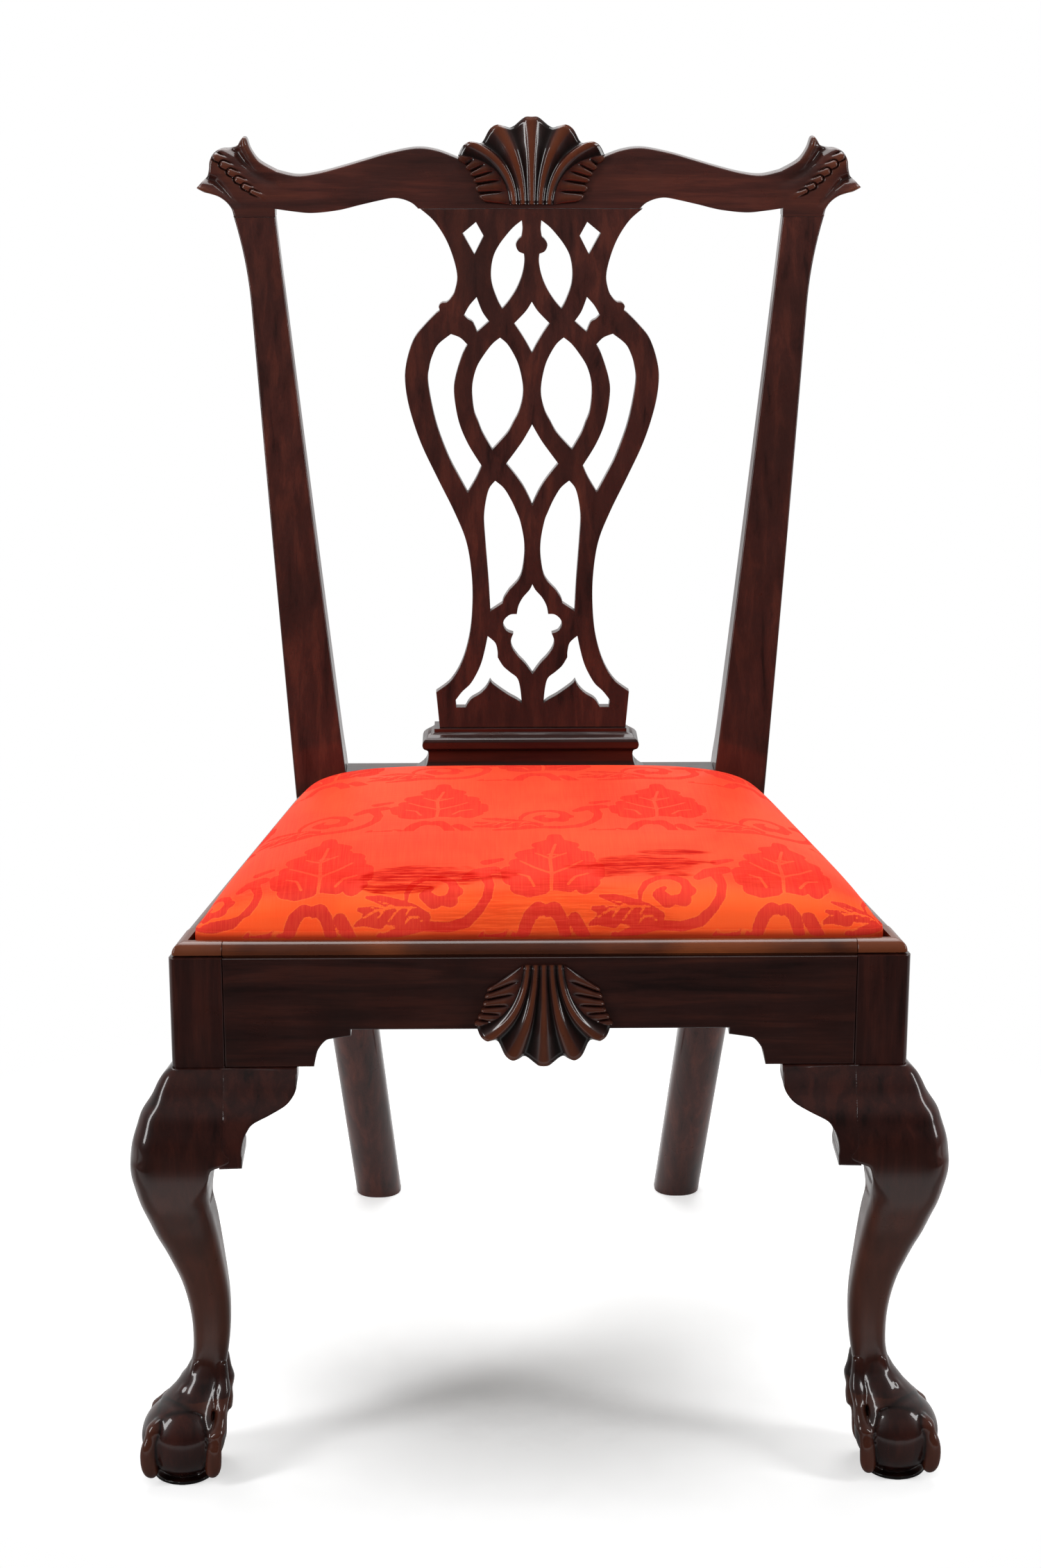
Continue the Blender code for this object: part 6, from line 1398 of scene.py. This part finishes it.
def cover_material():
    n = Nodes("damask_silk")
    motif = n.most(n.attribute("motif"), n.times(n.attribute("vein"), -1.0))
    motif = n.plus(motif, n.span(n.noise((900, 900, 900), detail=2.0), 0.3, 0.7, -0.3, 0.3))
    inside = n.soft(motif, 0.35, -0.35)
    outline = n.times(n.soft(motif, -0.2, 0.35), n.soft(motif, 1.0, 0.35))
    run = n.attribute("run")
    front = n.soft(run, 0.030, 0.062, 1.0, 0.0)
    sheen = n.noise((11, 9, 9), detail=3.0, distortion=0.4)
    slub = n.noise((16, 420, 420), (0.3, 0.1, 0), 3.0, 0.6)
    thin = n.noise((60, 900, 900), (0.3, 0.1, 0), 3.0, 0.6)
    warp = n.noise((900, 22, 60), (0.1, 0.6, 0), 3.0, 0.6)

    def shimmer(top, roll):
        """Pairs of colours for the top and the front roll, each from one to the other with the sheen."""
        top, roll = (n.ramp(sheen, list(zip((0.3, 0.7), pair))) for pair in (top, roll))
        return n.mix(front, top, roll)

    # Light satin ground and crimson figure, clear on the front roll and low in contrast on the top: painted sheen
    ground = shimmer(((0.84, 0.050, 0.022), (0.95, 0.078, 0.030)), ((0.97, 0.078, 0.018), (1.0, 0.118, 0.026)))
    figure = shimmer(((0.72, 0.026, 0.018), (0.84, 0.040, 0.026)), ((0.60, 0.026, 0.020), (0.74, 0.040, 0.026)))
    colour = n.mix(inside, ground, figure)
    colour = n.mix(n.times(outline, n.span(front, 0.0, 1.0, 0.12, 0.4)), colour, FIGURE_EDGE)
    colour = n.mix(n.span(warp, 0.35, 0.72, 0.0, 0.22), colour, BRIGHT_WARP)
    # Worn patches where the dark weft shows, mostly behind the front roll
    across = n.axes(n.coords["Object"])["X"]
    worn = n.times(n.span(n.noise((9, 15, 30), (0.37, 0.22, 0), 2.0, 0.5), 0.5, 0.62),
                   n.soft(run, 0.05, 0.10, 0.35, 0.0))
    ragged = n.span(n.noise((30, 60, 60), detail=2.0, rough=0.6), 0.3, 0.7, -0.6, 0.6)
    for middle, half, start, end in WORN:
        far_x = n.times(n.less(across, middle), 1 / half)
        far_y = n.times(n.less(run, (start + end) / 2), 2 / (end - start))
        gone = n.plus(n.plus(n.times(far_x, far_x), n.times(far_y, far_y)), ragged)
        worn = n.most(worn, n.soft(gone, 0.55, 1.25, 1.0, 0.0))
    threads = n.span(n.plus(n.times(slub, 0.45), n.times(thin, 0.55)), 0.38, 0.54)
    colour = n.mix(n.times(worn, threads), colour, DARK_WEFT)
    colour = n.mix(n.span(slub, 0.64, 0.80, 0.0, 0.45), colour, LOOSE_THREAD)
    colour = n.mix(n.times(n.attribute("low"), n.span(inside, 0.0, 1.0, 1.0, 0.55)), colour, LIP_SHADE)
    weave = n.plus(n.times(slub, 0.6), n.times(warp, 0.4))
    return n.base(colour, n.mix(inside, (0.48, 0.48, 0.48), (0.66, 0.66, 0.66)),
                  Normal=n.bump(inside, 0.0003, 0.35, n.bump(weave, 0.0005, 0.5)),
                  Specular_IOR_Level=0.03, Specular_Tint=(1.0, 0.30, 0.10, 1.0))


cover = add("seat_cover_damask", *finished_cover(points, faces), cover_material(), ["seat_cover", "stuffing"], None,
            body="slip_seat", slot="damask")
co = coordinates(cover.data)
along = cloth_run(co[:, 1], co[:, 2])
top_z = np.interp(along, (0.0, 0.02, 0.04, 0.065), (LIP_TOP, 0.4625, 0.475, 0.480))
side_fall = np.clip(top_z - 0.004 - co[:, 2], 0, 0.05) * np.clip((np.abs(co[:, 0]) - 0.14) / 0.02, 0, 1)
pattern, vein = damask_field(co[:, 0] + np.sign(co[:, 0]) * side_fall * 0.8, along)
low = np.clip((LIP_TOP + 0.0075 - co[:, 2]) / 0.009, 0, 1) * 0.8
paint(cover.data, {"motif": pattern, "vein": vein, "low": low, "run": along})

# Floor: white where the camera sees it; the varnish sees it with painted light round the feet, dark in front of them
WHITE = (1, 1, 1, 1)
floor = bare("floor", [(-9, -9, 0), (9, -9, 0), (9, 9, 0), (-9, 9, 0)], [(0, 1, 2, 3)])
n = Nodes("floor_white")
rays = n.new("ShaderNodeLightPath").outputs
deep = n.axes(n.coords["Object"])["Y"]
feet = n.math("ABSOLUTE", n.plus(deep, 0.31))
lit = n.times(n.soft(deep, -0.95, -0.50, 0.03, 0.62), n.soft(feet, 0.06, 0.17, 0.3, 1.0))
glossy = rays["Is Glossy Ray"]
shade = n.less(n.less(1.0, n.times(glossy, n.less(1.0, lit))), n.times(rays["Is Diffuse Ray"], 0.25))
white = n.ramp(n.noise((40, 40, 40), detail=3.0), [(0.3, (0.82,) * 3), (0.7, (0.86,) * 3)])
seen = n.most(n.most(rays["Is Camera Ray"], rays["Is Transmission Ray"]), n.times(glossy, n.times(lit, 0.5)))
# Less glow under the chair: a painted shadow
below = n.soft(n.distance((1.0, 1.7, 0.0), (0.0, 0.30, 0.0)), 0.04, 0.30, 0.13, 0.36)
n.base(n.mix(shade, (0.0, 0.0, 0.0), white), 0.9, Specular_IOR_Level=0.0, Emission_Color=WHITE,
       Emission_Strength=n.times(seen, below))
# Away from the chair the floor runs into the white background
far = n.times(seen, n.soft(n.distance((0.8, 1.0, 0.0), (0.0, -0.15, 0.0)), 0.42, 0.62))
glow = n.new("ShaderNodeEmission", {"Color": WHITE})
blend = n.new("ShaderNodeMixShader", {"Fac": far, 1: n.bsdf.outputs[0], 2: glow.outputs[0]})
n.put(n.tree.nodes["Material Output"].inputs["Surface"], blend.outputs[0])
floor.data.materials.append(n.material)

# Room: reflections see the white sweep behind, a soft ceiling and the dim room in front
DIM = 0.30
world = bpy.data.worlds.new("studio")
world.use_nodes = True
n = Nodes("studio", world.node_tree)
rays = n.new("ShaderNodeLightPath").outputs
way = n.axes(n.coords["Generated"])
shine = n.most(n.soft(way["Y"], -0.35, 0.55, 0.03, 0.85), n.soft(way["Z"], 0.05, 0.8, 0.03, 0.25))
glossy = n.plus(n.times(rays["Is Glossy Ray"], n.less(shine, DIM)), DIM)
sweep = n.tree.nodes["Background"].inputs
n.put(sweep["Color"], WHITE)
n.put(sweep["Strength"], n.most(glossy, n.most(rays["Is Camera Ray"], rays["Is Transmission Ray"])))

# Lamps and camera
for name, place, aim, size, power in (
    ("softbox_left", (-2.1, -1.3, 1.6), (0, 0, 0.5), (0.44, 2.0), 40),
    ("softbox_right", (2.2, -1.0, 1.5), (0, 0, 0.5), (0.38, 1.8), 30),
    ("softbox_top", (0.0, 0.85, 2.6), (0, -0.1, 0.4), (2.1, 1.9), 63),
):
    data = bpy.data.lights.new(name, "AREA")
    data.shape, data.energy = "RECTANGLE", power
    data.size, data.size_y = size
    lamp = linked(bpy.data.objects.new(name, data))
    lamp.location = place
    lamp.rotation_euler = (Vector(aim) - Vector(place)).to_track_quat("-Z", "Y").to_euler()
data = bpy.data.cameras.new("photo")
data.sensor_fit, data.sensor_height, data.lens = "VERTICAL", 36.0, 68.2645
camera = linked(bpy.data.objects.new("photo", data))
camera.location = (-0.0461, -2.38885, 1.1893)
camera.rotation_euler = (math.pi / 2 - 0.2846, 0.0, -0.0147)
scene = bpy.context.scene
scene.world, scene.camera = world, camera
scene.view_settings.view_transform = "Standard"
